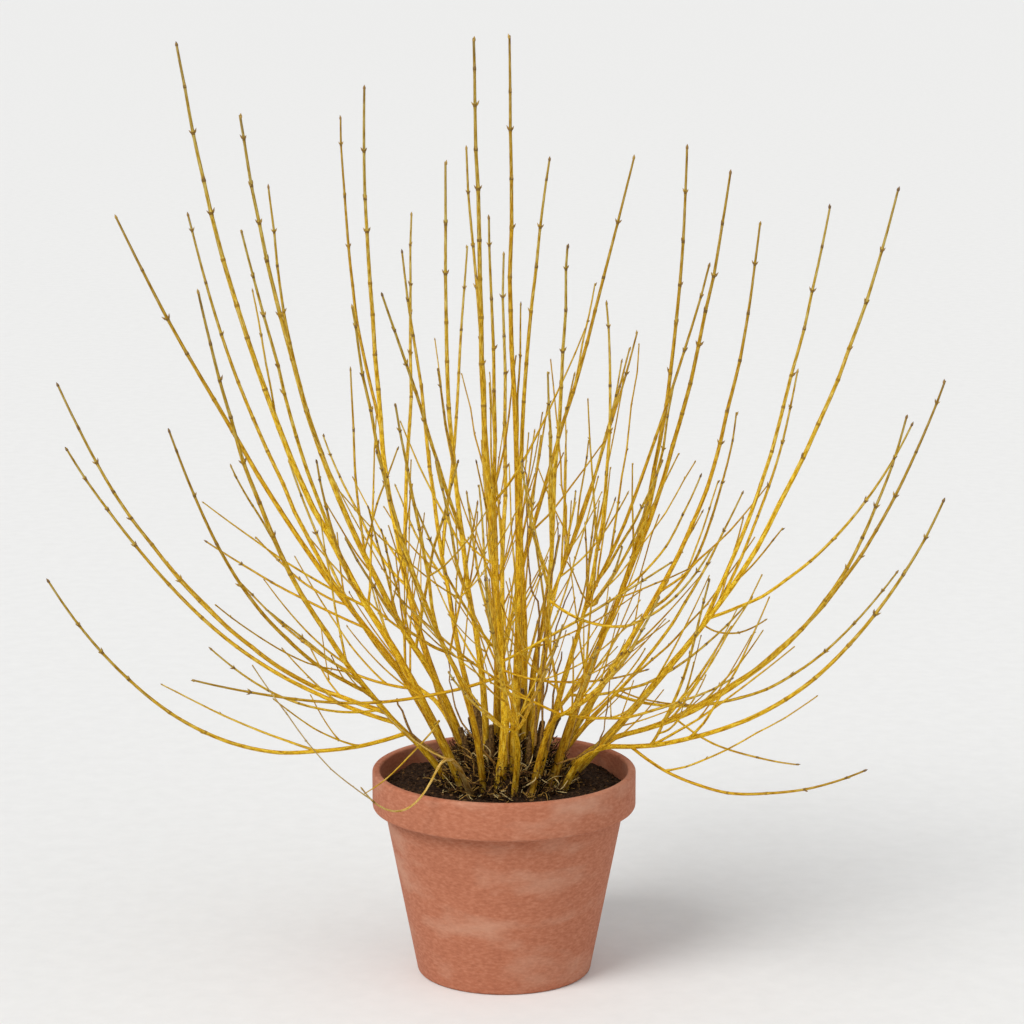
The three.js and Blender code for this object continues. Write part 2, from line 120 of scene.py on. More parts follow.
FINE_SPACING = (40, 70)  # between the joints of a twig
FINE_SEED = 9000
FINE_TRIES = 3  # how often at most a finer twig is drawn until it comes near no other limb
BARE_HEIGHT, BARE_REACH = 170, 160  # below and within these the crown has no finer twigs

# Three kinds of twig: length, tip radius, taper, chance at the crown, and how far up they grow
TWIG_SIZE = ((100, 340), 1.1, 0.0045, 5, 490)
SPUR_SIZE = ((70, 260), 0.95, 0.005, 1, 400)  # on stems and shoots
FINE_SIZE = ((40, 170), 0.95, 0.005, 0.85, 400)  # on side twigs

# The stems: name, foot, girth, fork, and the shoots as (across, up, depth, bow, from, of)

STEMS = [
    ("left_low", (-80, -22), 6.2, (-142, 66, -48), [
        (-489, 792, -215, 0.15), (-733, 330, -150, 0.4, 0.03), (-702, 540, 30, 0.21, 0.065),
        (-715, 643, 150, 0.26, 0.1), (-474, 219, -190, 0.23, 0.11), (-537, 570, -330, 0.2, 0.16),
        (-382, 280, -300, 0, 0.18), (-438, 511, -300, 0.03, 0.52)]),
    ("left_lower", (-66, 4), 7, (-208, 232, 20), [
        (-621, 910, 130, 0.065), (-505, 914, 310, 0.14, 0.04), (-481, 390, 190, 0.05, 0.03),
        (-399, 396, 300, 0.1, 0.1)]),
    ("left_main", (-60, -48), 7.6, (-196, 246, -90), [
        (-522, 1185, -70, 0.1), (-420, 888, -330, 0.05, 0.13), (-402, 793, -10, -0.03, 0.42),
        (-300, 520, -420, 0.15, 0.08)]),
    ("left_inner", (-44, -14), 7.4, (-129, 196, -20), [
        (-421, 1071, -130, 0.105), (-376, 959, -230, 0.11, 0.46), (-245, 668, -90, 0.06, 0.24),
        (-168, 540, -160, -0.03, 0.25), (-72, 519, -300, -0.04, 0.03), (-218, 447, -190, 0.03, 0.1),
        (-197, 410, -150, -0.02, 0.05)]),
    ("left_back", (-38, 34), 7, (-147, 286, 140), [
        (-222, 1116, 300, 0.16), (-260, 1068, 420, 0.16, 0.38), (-147, 914, 540, 0, 0.07),
        (-290, 560, 520, 0.14, 0.04)]),
    ("left_front", (-32, -73), 6.2, (-82, 190, -150), [
        (-243, 768, -330, 0.1), (-174, 610, -520, 0, 0.12), (-255, 395, -520, 0.12, 0.05),
        (-205, 535, -430, 0.05, 0.2), (-41, 455, -210, 0.02, 0.03)]),
    ("inner_left_back", (-14, 60), 6.2, (-81, 260, 130), [
        (-163, 855, 400, 0.03), (-119, 535, 560, 0.1, 0.1), (-58, 862, 520, 0.04, 0.2),
        (-175, 480, 470, 0.1, 0.12)]),
    ("inner_left_front", (-28, -34), 6.6, (-46, 250, -85), [
        (-93, 997, -130, 0.06), (-196, 786, -470, 0, 0.24), (-106, 665, -400, 0.01, 0.4),
        (-108, 523, -420, 0.08, 0.06)]),
    ("centre", (-13, -77), 10.4, (0, 151, -80), [
        (-48, 1193, -30, 0.02), (-504, 166, -215, 0.16, 0.025), (235, 183, -230, 0.16, 0.035),
        (-152, 470, -250, 0.08, 0.06), (272, 356, -330, 0.02, 0.05)]),
    ("centre_strong", (9, -66), 9, (23, 380, -50), [
        (9, 1197, 120, 0.02), (27, 772, 60, 0.02, 0.2)]),
    ("centre_left", (-14, 10), 7.6, (-12, 330, 0), [
        (-24, 910, -140, 0.02), (-110, 520, 60, 0.3, 0.04), (-60, 1020, 250, 0.05, 0.1),
        (-45, 520, -90, 0.02, 0.1)]),
    ("centre_right", (24, -8), 8, (30, 330, 10), [
        (74, 1003, 20, -0.05), (209, 1005, 90, 0.01, 0.03), (146, 802, 190, 0.02, 0.5, 1),
        (72, 617, 160, 0.06, 0.1), (114, 660, 20, 0.02, 0.12, 1), (50, 570, 90, 0.02, 0.14)]),
    ("centre_back", (8, 50), 7, (-2, 150, 80), [
        (0, 851, 430, 0.02), (-40, 480, 600, 0.12, 0.04), (60, 560, 560, 0.1, 0.08),
        (-24, 330, 240, 0.08, 0.03)]),
    ("inner_right_front", (27, -58), 7, (72, 284, -120), [
        (102, 864, -400, 0.02), (70, 660, -500, -0.05, 0.2), (27, 520, -480, 0.06, 0.05),
        (335, 380, -400, 0.38, 0.02), (72, 565, -250, -0.02, 0.18)]),
    ("right_leaning", (44, 24), 7.2, (85, 320, 60), [
        (214, 726, 220, 0.055), (202, 700, 300, 0.06, 0.05), (189, 681, 150, 0.03, 0.42),
        (115, 470, 400, 0.08, 0.05), (201, 470, 100, 0.15, 0.03), (136, 553, 60, -0.02, 0.22),
        (100, 568, 150, -0.02, 0.05)]),
    ("right_front", (44, -68), 7, (125, 262, -90), [
        (163, 774, -110, 0.1), (255, 520, -400, 0.08, 0.12), (190, 380, -480, 0.12, 0.06),
        (232, 452, -300, 0.1, 0.04), (145, 433, -270, 0.02, 0.05), (130, 420, -190, 0.03, 0.08),
        (329, 834, -130, 0.045, 0.03), (180, 460, -130, 0, 0.28)]),
    ("right_main", (70, -50), 8.4, (180, 286, -70), [
        (362, 982, -110, 0.065), (292, 1022, -120, 0.08, 0.03), (273, 646, -330, 0.06, 0.14),
        (300, 345, -120, 0.05, 0.02), (317, 498, -190, 0.15, 0.04)]),
    ("right_back", (58, 36), 7.2, (219, 256, 110), [
        (409, 900, 260, 0.155), (372, 598, 380, 0.34, 0.04), (300, 420, 480, 0.1, 0.08),
        (344, 488, 330, 0.02, 0.3, 1), (320, 440, 200, 0, 0.18)]),
    ("right_outer", (84, -10), 8, (303, 232, 0), [
        (630, 955, 10, 0.11), (521, 927, 120, 0.085, 0.03), (470, 665, 230, 0.18, 0.05),
        (655, 580, -150, 0.2, 0.06), (448, 411, -90, 0.05, 0.16), (423, 264, 130, 0.22, 0.04),
        (384, 429, 170, 0.08, 0.09)]),
    ("right_low", (78, 18), 6.6, (196, 78, 60), [
        (645, 593, 170, 0.32), (706, 648, 330, 0.27, 0.03), (477, 28, -20, 0.16, 0.12),
        (366, 254, 250, 0.05, 0.08)]),
    ("right_lowest", (94, -42), 7, (176, 58, -95), [
        (706, 459, -250, 0.3), (585, 22, -360, 0.27, 0.04), (330, 330, -420, 0.1, 0.09)]),
    ("right_inner_low", (62, 58), 6, (166, 130, 150), [
        (384, 470, 440, 0.12), (633, 343, 380, 0.36, 0.05), (331, 126, 230, 0.13, 0.08)]),
    ("back_low", (14, 80), 6, (10, 140, 190), [
        (-60, 470, 660, 0.2), (90, 400, 700, 0.2, 0.06), (15, 260, 620, 0.14, 0.08)]),
    ("back_left_low", (-54, 58), 6.2, (-120, 140, 170), [
        (-345, 520, 590, 0.2), (-430, 330, 430, 0.2, 0.05), (-215, 330, 640, 0.16, 0.08)]),
    ("back_right_low", (40, 72), 6, (96, 130, 190), [
        (235, 480, 620, 0.2), (400, 300, 520, 0.22, 0.06), (170, 300, 680, 0.16, 0.09)]),
    ("front_low", (14, -88), 5.6, (20, 72, -170), [
        (-30, 330, -600, 0.08), (95, 255, -640, 0.08, 0.08), (-90, 180, -560, 0.08, 0.1)]),
    ("front_loop", (-50, -80), 5.2, (-110, 15, -190), [
        (-232, -4, -265, 0.77)]),
    ("front_right_low", (40, -90), 5.8, (90, 108, -130), [
        (250, 300, -560, 0.1), (370, 170, -470, 0.12, 0.06), (-178, 310, -210, 0.1, 0.02),
        (150, 220, -600, 0.08, 0.09), (48, 405, -330, 0.04, 0.03), (192, 212, -230, 0.03, 0.04)]),
]

# Repeatable chance, and small helpers

MASK = 0xFFFFFFFF
TURN = 2 * math.pi


def seeded(seed):
    """A repeatable row of numbers from 0 to 1."""
    state = seed & MASK

    def draw():
        nonlocal state
        state = (state + 0x6D2B79F5) & MASK
        mixed = (state ^ (state >> 15)) * (1 | state) & MASK
        mixed = (mixed + ((mixed ^ (mixed >> 7)) * (61 | mixed) & MASK) & MASK) ^ mixed
        return ((mixed ^ (mixed >> 14)) & MASK) / 4294967296

    return draw


def lerp(pair, share):
    return pair[0] + (pair[1] - pair[0]) * share


def unit(vectors):
    return vectors / np.linalg.norm(vectors, axis=-1, keepdims=True)


def between(first, second, turn):
    """The heading that many radians from the first towards the second, which is square to it."""
    return first * math.cos(turn) + second * math.sin(turn)


def polar(out, turn, height):
    return out * math.cos(turn), out * math.sin(turn), height


def by_kind(*values):
    return dict(zip(("stem", "shoot", "twig", "fine"), values))


def sighted(across, up, depth):
    """The real place of a point sighted from the front."""
    sin, cos = math.sin(SIGHT_PITCH), math.cos(SIGHT_PITCH)
    rise = up - SIGHT_UP
    lift = rise * (SIGHT_DISTANCE + depth * cos) - SIGHT_DISTANCE * depth * sin
    lift /= SIGHT_DISTANCE * cos + rise * sin
    nearness = 1 + (depth * cos - lift * sin) / SIGHT_DISTANCE
    return np.array([SIGHT_ACROSS + (across - SIGHT_ACROSS) * nearness, depth, SIGHT_HEIGHT + lift])


# Curves of stems, shoots and twigs


class Limb:
    """An arc with a gentle sway. The first side of its frame lies level across the arc."""

    def __init__(self, start, control, end, radii, sway=0.0, phase=0.0):
        self.ends = (start, control, end)
        self.radii = radii
        self.sway = 0.0
        self.phase = phase
        marks = self.points(np.linspace(0, 1, LENGTH_MARKS))
        self.length = float(np.linalg.norm(np.diff(marks, axis=0), axis=1).sum())
        self.sway = sway * self.length
        plan = (end - start)[:2]
        if np.linalg.norm(plan) < 1:
            plan = np.array([1.0, 0.0])
        self.across = unit(np.array([-plan[1], plan[0], 0.0]))
        self.joints = []

    def points(self, shares):
        t = np.asarray(shares, float)[..., None]
        start, control, end = self.ends
        place = (1 - t) ** 2 * start + 2 * (1 - t) * t * control + t**2 * end
        if self.sway:
            swing = self.sway * np.sin(math.pi * t) ** 2
            place = place + swing * np.sin(self.phase + SWAY_ACROSS * t) * self.across
            place[..., 2:] += RISE_SHARE * swing * np.sin(2 * self.phase + SWAY_RISE * t)
        return place

    def frame(self, shares):
        shares = np.asarray(shares, float)
        ahead = self.points(np.minimum(shares + HEADING_REACH, 1))
        tangent = unit(ahead - self.points(np.maximum(shares - HEADING_REACH, 0)))
        lean = (tangent * self.across).sum(axis=-1, keepdims=True)
        side = unit(self.across - lean * tangent)
        return tangent, side, np.cross(tangent, side)

    def radius(self, share):
        fuller = SHOOT_FULLNESS * np.sin(math.pi * share**FULLEST_LATE) if self.kind == "shoot" else 0
        return (1 + fuller) * lerp(self.radii, share)


def sagged(start, end, bow):
    """A shoot's control point: on its chord, then down square to the chord by its bow."""
    chord = end - start
    length = np.linalg.norm(chord)
    along = chord / length
    down = np.array([0.0, 0.0, -1.0]) + along * along[2]
    if np.linalg.norm(down) > 1e-6:
        down = unit(down)
    return start + chord * BOW_AT + down * bow * length


# The rule that grows the plant, as in the part's source


def grow_limbs():
    """The stems, each followed by its shoots. Every limb knows its kind, stem, parent and own chance."""
    limbs = []
    for index, (_, foot, girth, fork, rows) in enumerate(STEMS):
        fork = sighted(*fork)
        shoots = []
        for place, (across, up, depth, bow, *leaves) in enumerate(rows):
            share, of = (*leaves, 0, 0)[:2]
            chance = seeded(100 * (index + 1) + place)
            parent = shoots[of] if place else None
            start = parent.points(share) if parent else fork
            end = sighted(across, up, depth)
            shoot = Limb(start, sagged(start, end, bow), end, None, SWAY, TURN * chance())
            tip = TIP_RADIUS + TIP_GROWTH * shoot.length
            base = tip + (SIDE_TAPER if parent else SHOOT_TAPER) * shoot.length
            if parent:
                base = min(base, SHOOT_SHARE * parent.radius(share))
            shoot.radii = (base, min(tip, base))
            shoot.steps = math.ceil(1 + shoot.length / SHOOT_STEP + STEPS_FOR_BOW * abs(bow))
            shoot.kind, shoot.stem, shoot.parent, shoot.leaves_at = "shoot", index, parent, share
            shoot.chance = chance
            shoots.append(shoot)
        limbs += [grow_stem(index, foot, girth, fork, shoots[0]), *shoots]
    return limbs


def grow_stem(index, foot, girth, fork, shoot):
    """A stem ends at its fork with the heading and the radius of its first shoot."""
    foot = np.array([*foot, STEM_START], float)
    heading = shoot.frame(0)[0]
    bend = fork - heading * STEM_BEND * np.linalg.norm(fork - foot)
    stem = Limb(foot, bend, fork, (girth, shoot.radii[0]))
    stem.steps, stem.kind, stem.stem, stem.parent = STEM_STEPS, "stem", index, None
    return stem


def mark_joints(limb, spacing):
    """Sets where the joints of a limb are, as shares of its length, and that both sides of each are bare."""
    limb.joints = []
    along = lerp(spacing, limb.chance())
    while along < limb.length - spacing[0] / 2:
        limb.joints.append(along / limb.length)
        along += lerp(spacing, limb.chance())
    limb.bare = [(place, hand) for place in range(len(limb.joints)) for hand in (1, -1)]


def straight_pieces(limb):
    marks = limb.points(np.arange(limb.steps + 1) / limb.steps)
    widths = [limb.radius(i / limb.steps) for i in range(limb.steps)]
    return marks[:-1], marks[1:], np.array(widths)


def comes_near(twig, taken):
    """Whether the twig comes near the rim or any limb but its own shoot."""
    free = FREE_LENGTH * twig.parent.radii[0] / twig.length
    points = twig.points(np.linspace(free, 1, CLEARANCE_SAMPLES + 1))
    if (points[:, 2] < TWIG_LOWEST).any():
        return True
    others = [pieces for limb, pieces in taken if limb is not twig.parent]
    low, high, widths = (np.concatenate(part) for part in zip(*others))
    run = high - low
    share = ((points[:, None] - low) * run).sum(axis=-1) / (run * run).sum(axis=-1)
    nearest = low + np.clip(share, 0, 1)[..., None] * run
    gaps = np.linalg.norm(points[:, None] - nearest, axis=-1)
    return bool((gaps < widths + twig.radii[0] + TWIG_CLEARANCE).any())


def grow_twig(parent, place, hand, length, tip, taper, most, up):
    """A side twig, or None where chance leaves it out. Its chance falls from most at the crown to 0 at up."""
    luck, reach, spread, lift = (parent.chance() for _ in range(4))
    t = parent.joints[place]
    tangent, side, over = parent.frame(t)
    outward = between(side, over, parent.phase + place * (math.pi / 2))
    heading = between(tangent, outward * hand, lerp(TWIG_SPLAY, spread))
    start = parent.points(t)
    odds = most * (1 - math.hypot(math.hypot(start[0], start[1]) / TWIG_OUT, start[2] / up))
    if luck > odds or heading[2] < TWIG_STEEPNESS:
        return None
    length = lerp(length, reach)
    base = min(tip + taper * length, TWIG_SHARE * parent.radius(t))
    control = start + heading * TWIG_TURN_AT * length
    heading = heading + np.array([0, 0, lerp(TWIG_RISE, lift)])
    twig = Limb(start, control, control + unit(heading) * (1 - TWIG_TURN_AT) * length, (base, tip))
    twig.steps, twig.stem, twig.parent, twig.leaves_at = TWIG_STEPS, parent.stem, parent, t
    return twig


def bear(limb, kind, size, tries, taken):
    """Grows twigs on the bare sides of a limb's joints, but none that comes near another limb."""
    grown, bare = [], []
    for place, hand in limb.bare:
        across, deep, up = limb.points(limb.joints[place])
        crowded = kind == "fine" and up < BARE_HEIGHT and math.hypot(across, deep) < BARE_REACH
        drawn = (grow_twig(limb, place, hand, *size) for _ in range(0 if crowded else tries))
        twig = next((twig for twig in drawn if twig and not comes_near(twig, taken)), None)
        if twig:
            twig.kind = kind
            taken.append((twig, straight_pieces(twig)))
            grown.append(twig)
        else:
            bare.append((place, hand))
    limb.bare = bare
    return grown


def grow_twigs(limbs):
    """The side twigs that the part's source has too."""
    taken = [(limb, straight_pieces(limb)) for limb in limbs]
    twigs = []
    for shoot in limbs:
        if shoot.kind == "shoot":
            mark_joints(shoot, JOINT_SPACING)
            twigs += bear(shoot, "twig", TWIG_SIZE, 1, taken)
    return twigs


def grow_fine(limbs, twigs):
    """Finer twigs by the same rule: on the stems, the bare sides of the shoots and every side twig."""
    bearers = [*twigs, *(limb for limb in limbs if limb.kind == "stem")]
    for number, limb in enumerate(bearers):
        limb.chance = seeded(FINE_SEED + number)
        limb.phase = TURN * limb.chance()
        mark_joints(limb, FINE_SPACING if limb.kind == "twig" else JOINT_SPACING)
    bearers = [*limbs, *twigs]
    taken = [(limb, straight_pieces(limb)) for limb in bearers]
    fine = []
    for limb in bearers:
        fine += bear(limb, "fine", FINE_SIZE if limb.kind == "twig" else SPUR_SIZE, FINE_TRIES, taken)
    return fine


# Colours as sRGB bytes, and finishes made of nodes

BRIGHTEST = 250  # of any colour of the plant
DULL = 0.1  # the shine of litter, dead wood and soil


def linear(colour):
    shares = np.asarray(colour, float) / 255
    bent = np.where(shares <= 0.04045, shares / 12.92, ((shares + 0.055) / 1.055) ** 2.4)
    return (*bent.tolist(), 1.0)


def shades(colour, tones):
    return [np.minimum(np.array(colour) * tone, BRIGHTEST) for tone in tones]


def feed(material, node, **inputs):
    """Gives each input a value or another node's output. A low line in its name stands for a blank."""
    for name, value in inputs.items():
        socket = node.inputs[name.replace("_", " ")]
        if isinstance(value, bpy.types.NodeSocket):
            material.node_tree.links.new(value, socket)
        else:
            socket.default_value = value


def add_node(material, kind, **inputs):
    node = material.node_tree.nodes.new(f"ShaderNode{kind}")
    feed(material, node, **inputs)
    return node


def surface(name, colours, roughness, grain, relief, stretch=(1, 1, 1), by_uv=False, spots=None, shine=0.5,
            spread=0.2):
    """A finish whose colour, roughness and relief wander together with a grain of that many mm."""
    material = bpy.data.materials.new(name)
    material.use_nodes = True
    place = add_node(material, "TexCoord").outputs["UV" if by_uv else "Object"]
    mapped = add_node(material, "Mapping", Vector=place, Scale=stretch).outputs["Vector"]
    cloud = add_node(material, "TexNoise", Vector=mapped, Scale=1000 / grain, Detail=6, Roughness=0.6)
    cloud = cloud.outputs["Fac"]
    ramp = add_node(material, "ValToRGB", Fac=cloud)
    first, last = ramp.color_ramp.elements
    shares = np.linspace(0.5 - spread, 0.5 + spread, len(colours))
    first.position, first.color = shares[0], linear(colours[0])
    last.position, last.color = shares[-1], linear(colours[-1])
    for share, colour in zip(shares[1:-1], colours[1:-1]):
        ramp.color_ramp.elements.new(share).color = linear(colour)
    colour = ramp.outputs["Color"]
    if spots:
        colour = spotted(material, place if by_uv else mapped, colour, **spots)
    rough = add_node(material, "MapRange", Value=cloud, From_Min=0.3, From_Max=0.7,
                     To_Min=roughness[0], To_Max=roughness[1])
    bump = add_node(material, "Bump", Height=cloud, Strength=1, Distance=relief / 1000)
    feed(material, material.node_tree.nodes["Principled BSDF"], Specular_IOR_Level=shine, Base_Color=colour,
         Roughness=rough.outputs["Result"], Normal=bump.outputs["Normal"])
    return material


def spotted(material, place, colour, spot, size, sparse, soft=0.16):
    """Small spots of another colour, such as pores of bark or lime on clay."""
    cells = add_node(material, "TexNoise", Vector=place, Scale=1000 / size, Detail=3)
    reach = add_node(material, "MapRange", Value=cells.outputs["Fac"], From_Min=sparse,
                     From_Max=sparse + soft)
    mix = add_node(material, "Mix")
    mix.data_type = "RGBA"
    feed(material, mix, Factor=reach.outputs["Result"], A=colour, B=linear(spot))
    return mix.outputs["Result"]


# The bark's colours from foot to tip: (age, colour), where 0 is the foot of a stem and 1 the tip of a shoot

BARK = (
    (0.0, (152, 120, 42)), (0.02, (166, 129, 36)), (0.05, (178, 137, 30)), (0.09, (190, 144, 26)),
    (0.15, (206, 157, 25)), (0.25, (223, 172, 27)), (0.36, (228, 179, 29)), (0.48, (218, 171, 32)),
    (0.6, (204, 160, 36)), (0.72, (192, 152, 42)), (0.82, (181, 147, 50)), (0.9, (173, 142, 55)),
    (0.96, (166, 136, 58)), (1.0, (140, 112, 54)),
)
TONES = ((1, 1, 1), (1.03, 1.05, 1.2), (0.95, 0.92, 0.8))
PALE_STEM, PALE = "front_loop", (0.93, 0.97, 3)  # the loop that hangs out at the front has its own tone
# The tones of the streaks in the bark, from dark and brown to pale. Besides real mottling, the pale tones are
# a painted sheen and the dark ones painted shade, scattered with the streaks
STREAK_SHEEN_SHADE_TONES = ((0.76, 0.68, 0.3), (0.93, 0.91, 0.7), (1, 1.02, 1.2), (1.04, 1.13, 2.1))
BLUEST = 0.5  # the most blue in the bark, as a share of its red
BARK_SHINE, BARK_ROUGHNESS = 0.08, (0.66, 0.46)
BARK_GRAIN, BARK_SPREAD = 2.8, 0.11
STREAK_STRETCH = (1, 0.16, 1)  # streaks are drawn out along the limb
OLD_BARK = 0.4  # bark below this age is rougher and thick with pores
PORES = ({"size": 2.2, "sparse": 0.54}, {"size": 2.2, "sparse": 0.59})  # of old bark and of young
BARK_RELIEF = (1.1, 0.5)
PORE_TONE = (0.6, 0.52, 0.35)
DITHER = 0.6  # how many steps of age a finish may be off
JOINT_COLOURS = ((158, 120, 36), (124, 95, 42))  # on older bark, and near the tips
FORK_AGE = 0.3  # the age where the stem ends and the shoot begins
JOINT_TONES = (0.7, 1, 1.1)
BUD_COLOURS = ((164, 130, 56), (136, 102, 46), (110, 80, 40))
BUD_TONES = (0.7, 1, 1.25)


def bark_finishes():
    """A finish for each age and each tone, then two for the joints."""
    made = []
    for number, tone in enumerate((*TONES, PALE)):
        for step, (age, colour) in enumerate(BARK):
            colour = shades(colour, [tone])[0]
            # the streak tones are real mottling, with painted sheen in the pale ones and painted shade in the
            # dark ones
            colours = shades(colour, STREAK_SHEEN_SHADE_TONES)
            for streak_sheen_shade in colours:
                streak_sheen_shade[2] = min(streak_sheen_shade[2], BLUEST * streak_sheen_shade[0])
            young = age >= OLD_BARK
            spots = {"spot": colour * PORE_TONE, **PORES[young]}
            made.append(surface(f"bark_{number}_{step}", colours, BARK_ROUGHNESS, BARK_GRAIN,
                                BARK_RELIEF[young], STREAK_STRETCH, True, spots, BARK_SHINE, BARK_SPREAD))
    for number, colour in enumerate(JOINT_COLOURS):
        made.append(surface(f"joint_{number}", shades(colour, JOINT_TONES), (0.8, 0.6), 1.2, 0.3,
                            by_uv=True, shine=BARK_SHINE))
    return made


def bark_finish(ages, tone, dice):
    """The number of the finish for each age, dithered so that no step shows."""
    steps = np.interp(ages, [age for age, _ in BARK], range(len(BARK)))
    steps = steps + dice.uniform(-DITHER, DITHER, ages.shape)
    return tone * len(BARK) + np.clip(np.round(steps), 0, len(BARK) - 1).astype(int)


# Meshes


def ring_quads(rings, sides):
    """The faces between rings of points, and for each its ring and its place in the ring."""
    low, at = np.meshgrid(np.arange(rings - 1), np.arange(sides), indexing="ij")
    turn = (at + 1) % sides
    quads = np.stack([low * sides + at, low * sides + turn, (low + 1) * sides + turn,
                      (low + 1) * sides + at], axis=-1)
    return quads.reshape(-1, 4), low, at


class Piece:
    """Gathers the points and faces of one mesh, with a finish and bark coordinates for each face."""

    def __init__(self, name, slot, finishes):
        self.name, self.slot, self.finishes = name, slot, finishes
        self.points, self.faces, self.finish, self.uvs = [], [], [], []
        self.count = 0

    def add(self, points, faces, finish, uvs=None):
        faces = np.asarray(faces, int)
        self.points.append(points)
        self.faces += (faces + self.count).tolist()
        self.finish.append(np.broadcast_to(finish, len(faces)))
        self.uvs.append(np.zeros(faces.shape + (2,)) if uvs is None else uvs)
        self.count += len(points)

    def tube(self, centres, radii, side, over, sides, finish, along, relief=1.0):
        """A round limb with closed ends. finish has one number for all its faces, or one for each."""
        turns = np.arange(sides) * TURN / sides
        rays = np.cos(turns)[:, None] * side[:, None] + np.sin(turns)[:, None] * over[:, None]
        reach = np.asarray(radii)[:, None] * np.broadcast_to(relief, (len(centres), sides))
        rings = (centres[:, None] + rays * reach[..., None]).reshape(-1, 3)
        quads, low, at = ring_quads(len(centres), sides)
        arc = TURN * float(np.mean(radii)) / sides
        u = (at[..., None] + (0, 1, 1, 0)) * arc
        v = along[low[..., None] + (0, 0, 1, 1)]
        finish = np.broadcast_to(finish, (len(centres) - 1, sides))
        self.add(rings, quads, finish.reshape(-1), np.stack([u, v], axis=-1).reshape(-1, 4, 2) / 1000)
        self.cap(rings[:sides], centres[0], -1, finish[0, 0])
        self.cap(rings[-sides:], centres[-1], 1, finish[-1, 0])

    def cap(self, edge, centre, way, finish):
        """Closes a ring with a fan round its centre. way is 1 or -1, for the side that shows."""
        count = len(edge)
        fan = [(count, i, (i + 1) % count)[::way] for i in range(count)]
        self.add(np.vstack([edge, centre]), fan, finish)

    def made(self, lift=SOIL_LEVEL):
        """The finished object in metres, which rides on the part."""
        points = (np.vstack(self.points) + (0, 0, lift)) / 1000
        mesh = bpy.data.meshes.new(self.name)
        mesh.from_pydata(points.tolist(), [], self.faces)
        for finish in self.finishes:
            mesh.materials.append(finish)
        mesh.polygons.foreach_set("material_index", np.concatenate(self.finish).astype(np.int32))
        mesh.polygons.foreach_set("use_smooth", np.ones(len(self.faces), bool))
        layer = mesh.uv_layers.new(name="bark")
        layer.data.foreach_set("uv", np.concatenate([uv.reshape(-1) for uv in self.uvs]))
        mesh.update()
        thing = bpy.data.objects.new(self.name, mesh)
        bpy.context.collection.objects.link(thing)
        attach(thing, "root")
        return thing


# Bark on stems, shoots and twigs

KINK = by_kind(0, 0.8, 1.1, 0)  # how far the axis is pushed aside at a joint
SWELL = by_kind(0, 0.24, 0.16, 0)
SWELL_LENGTH = 2.8
SWELL_FROM = (0.2, 0.75)  # the swellings at joints grow between these shares of a limb
FLARE = by_kind(0.1, 0.16, 0.4, 0.5)
RING_STEP = by_kind(5, 12, 13, 15)
SIDES = by_kind(14, 9, 6, 5)
SHORT_BY = by_kind(0, 4, 2, 2)  # bark ends this far inside the tip bud
RELIEF = by_kind(0.05, 0.022, 0.015, 0.0)
RELIEF_WAVES = (1, 2, 3, 5)  # how many ridges stand round a limb
RELIEF_DRIFT, RELIEF_PACE = 0.045, (0.6, 1.4)  # how fast ridges wander for each mm, and how that varies
RELIEF_SWAY, RELIEF_BEAT = 2, 1.7  # how far ridges wander, and how fast they come and go
RELIEF_FADE = 8  # the relief fades out over this much at either end
MARKED_FROM = 0.45  # joints have a colour of their own from this share of a shoot on
TIP_MARKS_FROM = 0.7  # and have the colour of the tips' joints from here on
JOINT_CLEAR = 7  # a joint has rings of its own, and the even rings keep this far away
JOINT_FINISH = (len(TONES) + 1) * len(BARK)  # the number of the first finish for joints
JOINT_REACH = 2  # how far from the middle of a joint its own colour reaches
FLARE_LENGTH = 1.6  # in radii
# The rings round a joint, in mm from it
JOINT_RINGS = by_kind((), (-6, -2.2, -0.9, 0.9, 2.2, 6), (-3, -0.8, 0.8, 3), ())


def give_shape(limb, dice):
    """Settles what the scene adds to a limb's arc: kinks at its joints and ridges in its bark."""
    marks = [0, *limb.joints, 1]
    offsets = dice.normal(0, KINK[limb.kind], (len(marks), 2))
    offsets[[0, -1]] = 0
    limb.kinks = (marks, offsets)
    limb.waves = [(waves, dice.uniform(0, TURN), dice.uniform(*RELIEF_PACE)) for waves in RELIEF_WAVES]


def axis(limb, shares):
    """The points of the limb's true axis, with its kinks, and its frame there."""
    tangent, side, over = limb.frame(shares)
    marks, offsets = limb.kinks
    aside = np.interp(shares, marks, offsets[:, 0])[..., None] * side
    above = np.interp(shares, marks, offsets[:, 1])[..., None] * over
    return limb.points(shares) + aside + above, tangent, side, over


def thickness(limb, shares):
    """The radius along a limb, which tapers, flares at its foot and swells at joints."""
    along = np.asarray(shares) * limb.length
    radii = limb.radius(np.asarray(shares))
    if limb.kind != "stem" and limb.leaves_at:
        radii = radii * (1 + FLARE[limb.kind] * np.exp(-along / (FLARE_LENGTH * limb.radii[0])))
    for joint in limb.joints:
        away = (along - joint * limb.length) / SWELL_LENGTH
        grown = min(1, max(0, (joint - SWELL_FROM[0]) / (SWELL_FROM[1] - SWELL_FROM[0])))
        radii = radii * (1 + SWELL[limb.kind] * grown * np.exp(-away**2))
    return radii


def relief_of(limb, along, sides):
    """The radius at each point of each ring, as a share of the smooth limb's."""
    turns = np.arange(sides) * TURN / sides
    total = np.zeros((len(along), sides))
    for waves, phase, pace in limb.waves:
        drift = along[:, None] * pace * RELIEF_DRIFT + phase
        ridge = np.cos(waves * turns + RELIEF_SWAY * np.sin(drift))
        total += ridge * np.cos(drift * RELIEF_BEAT + waves) / waves**0.5
    fade = np.minimum(1, np.minimum(along, along[-1] - along) / RELIEF_FADE)
    return 1 + RELIEF[limb.kind] * total * fade[:, None]


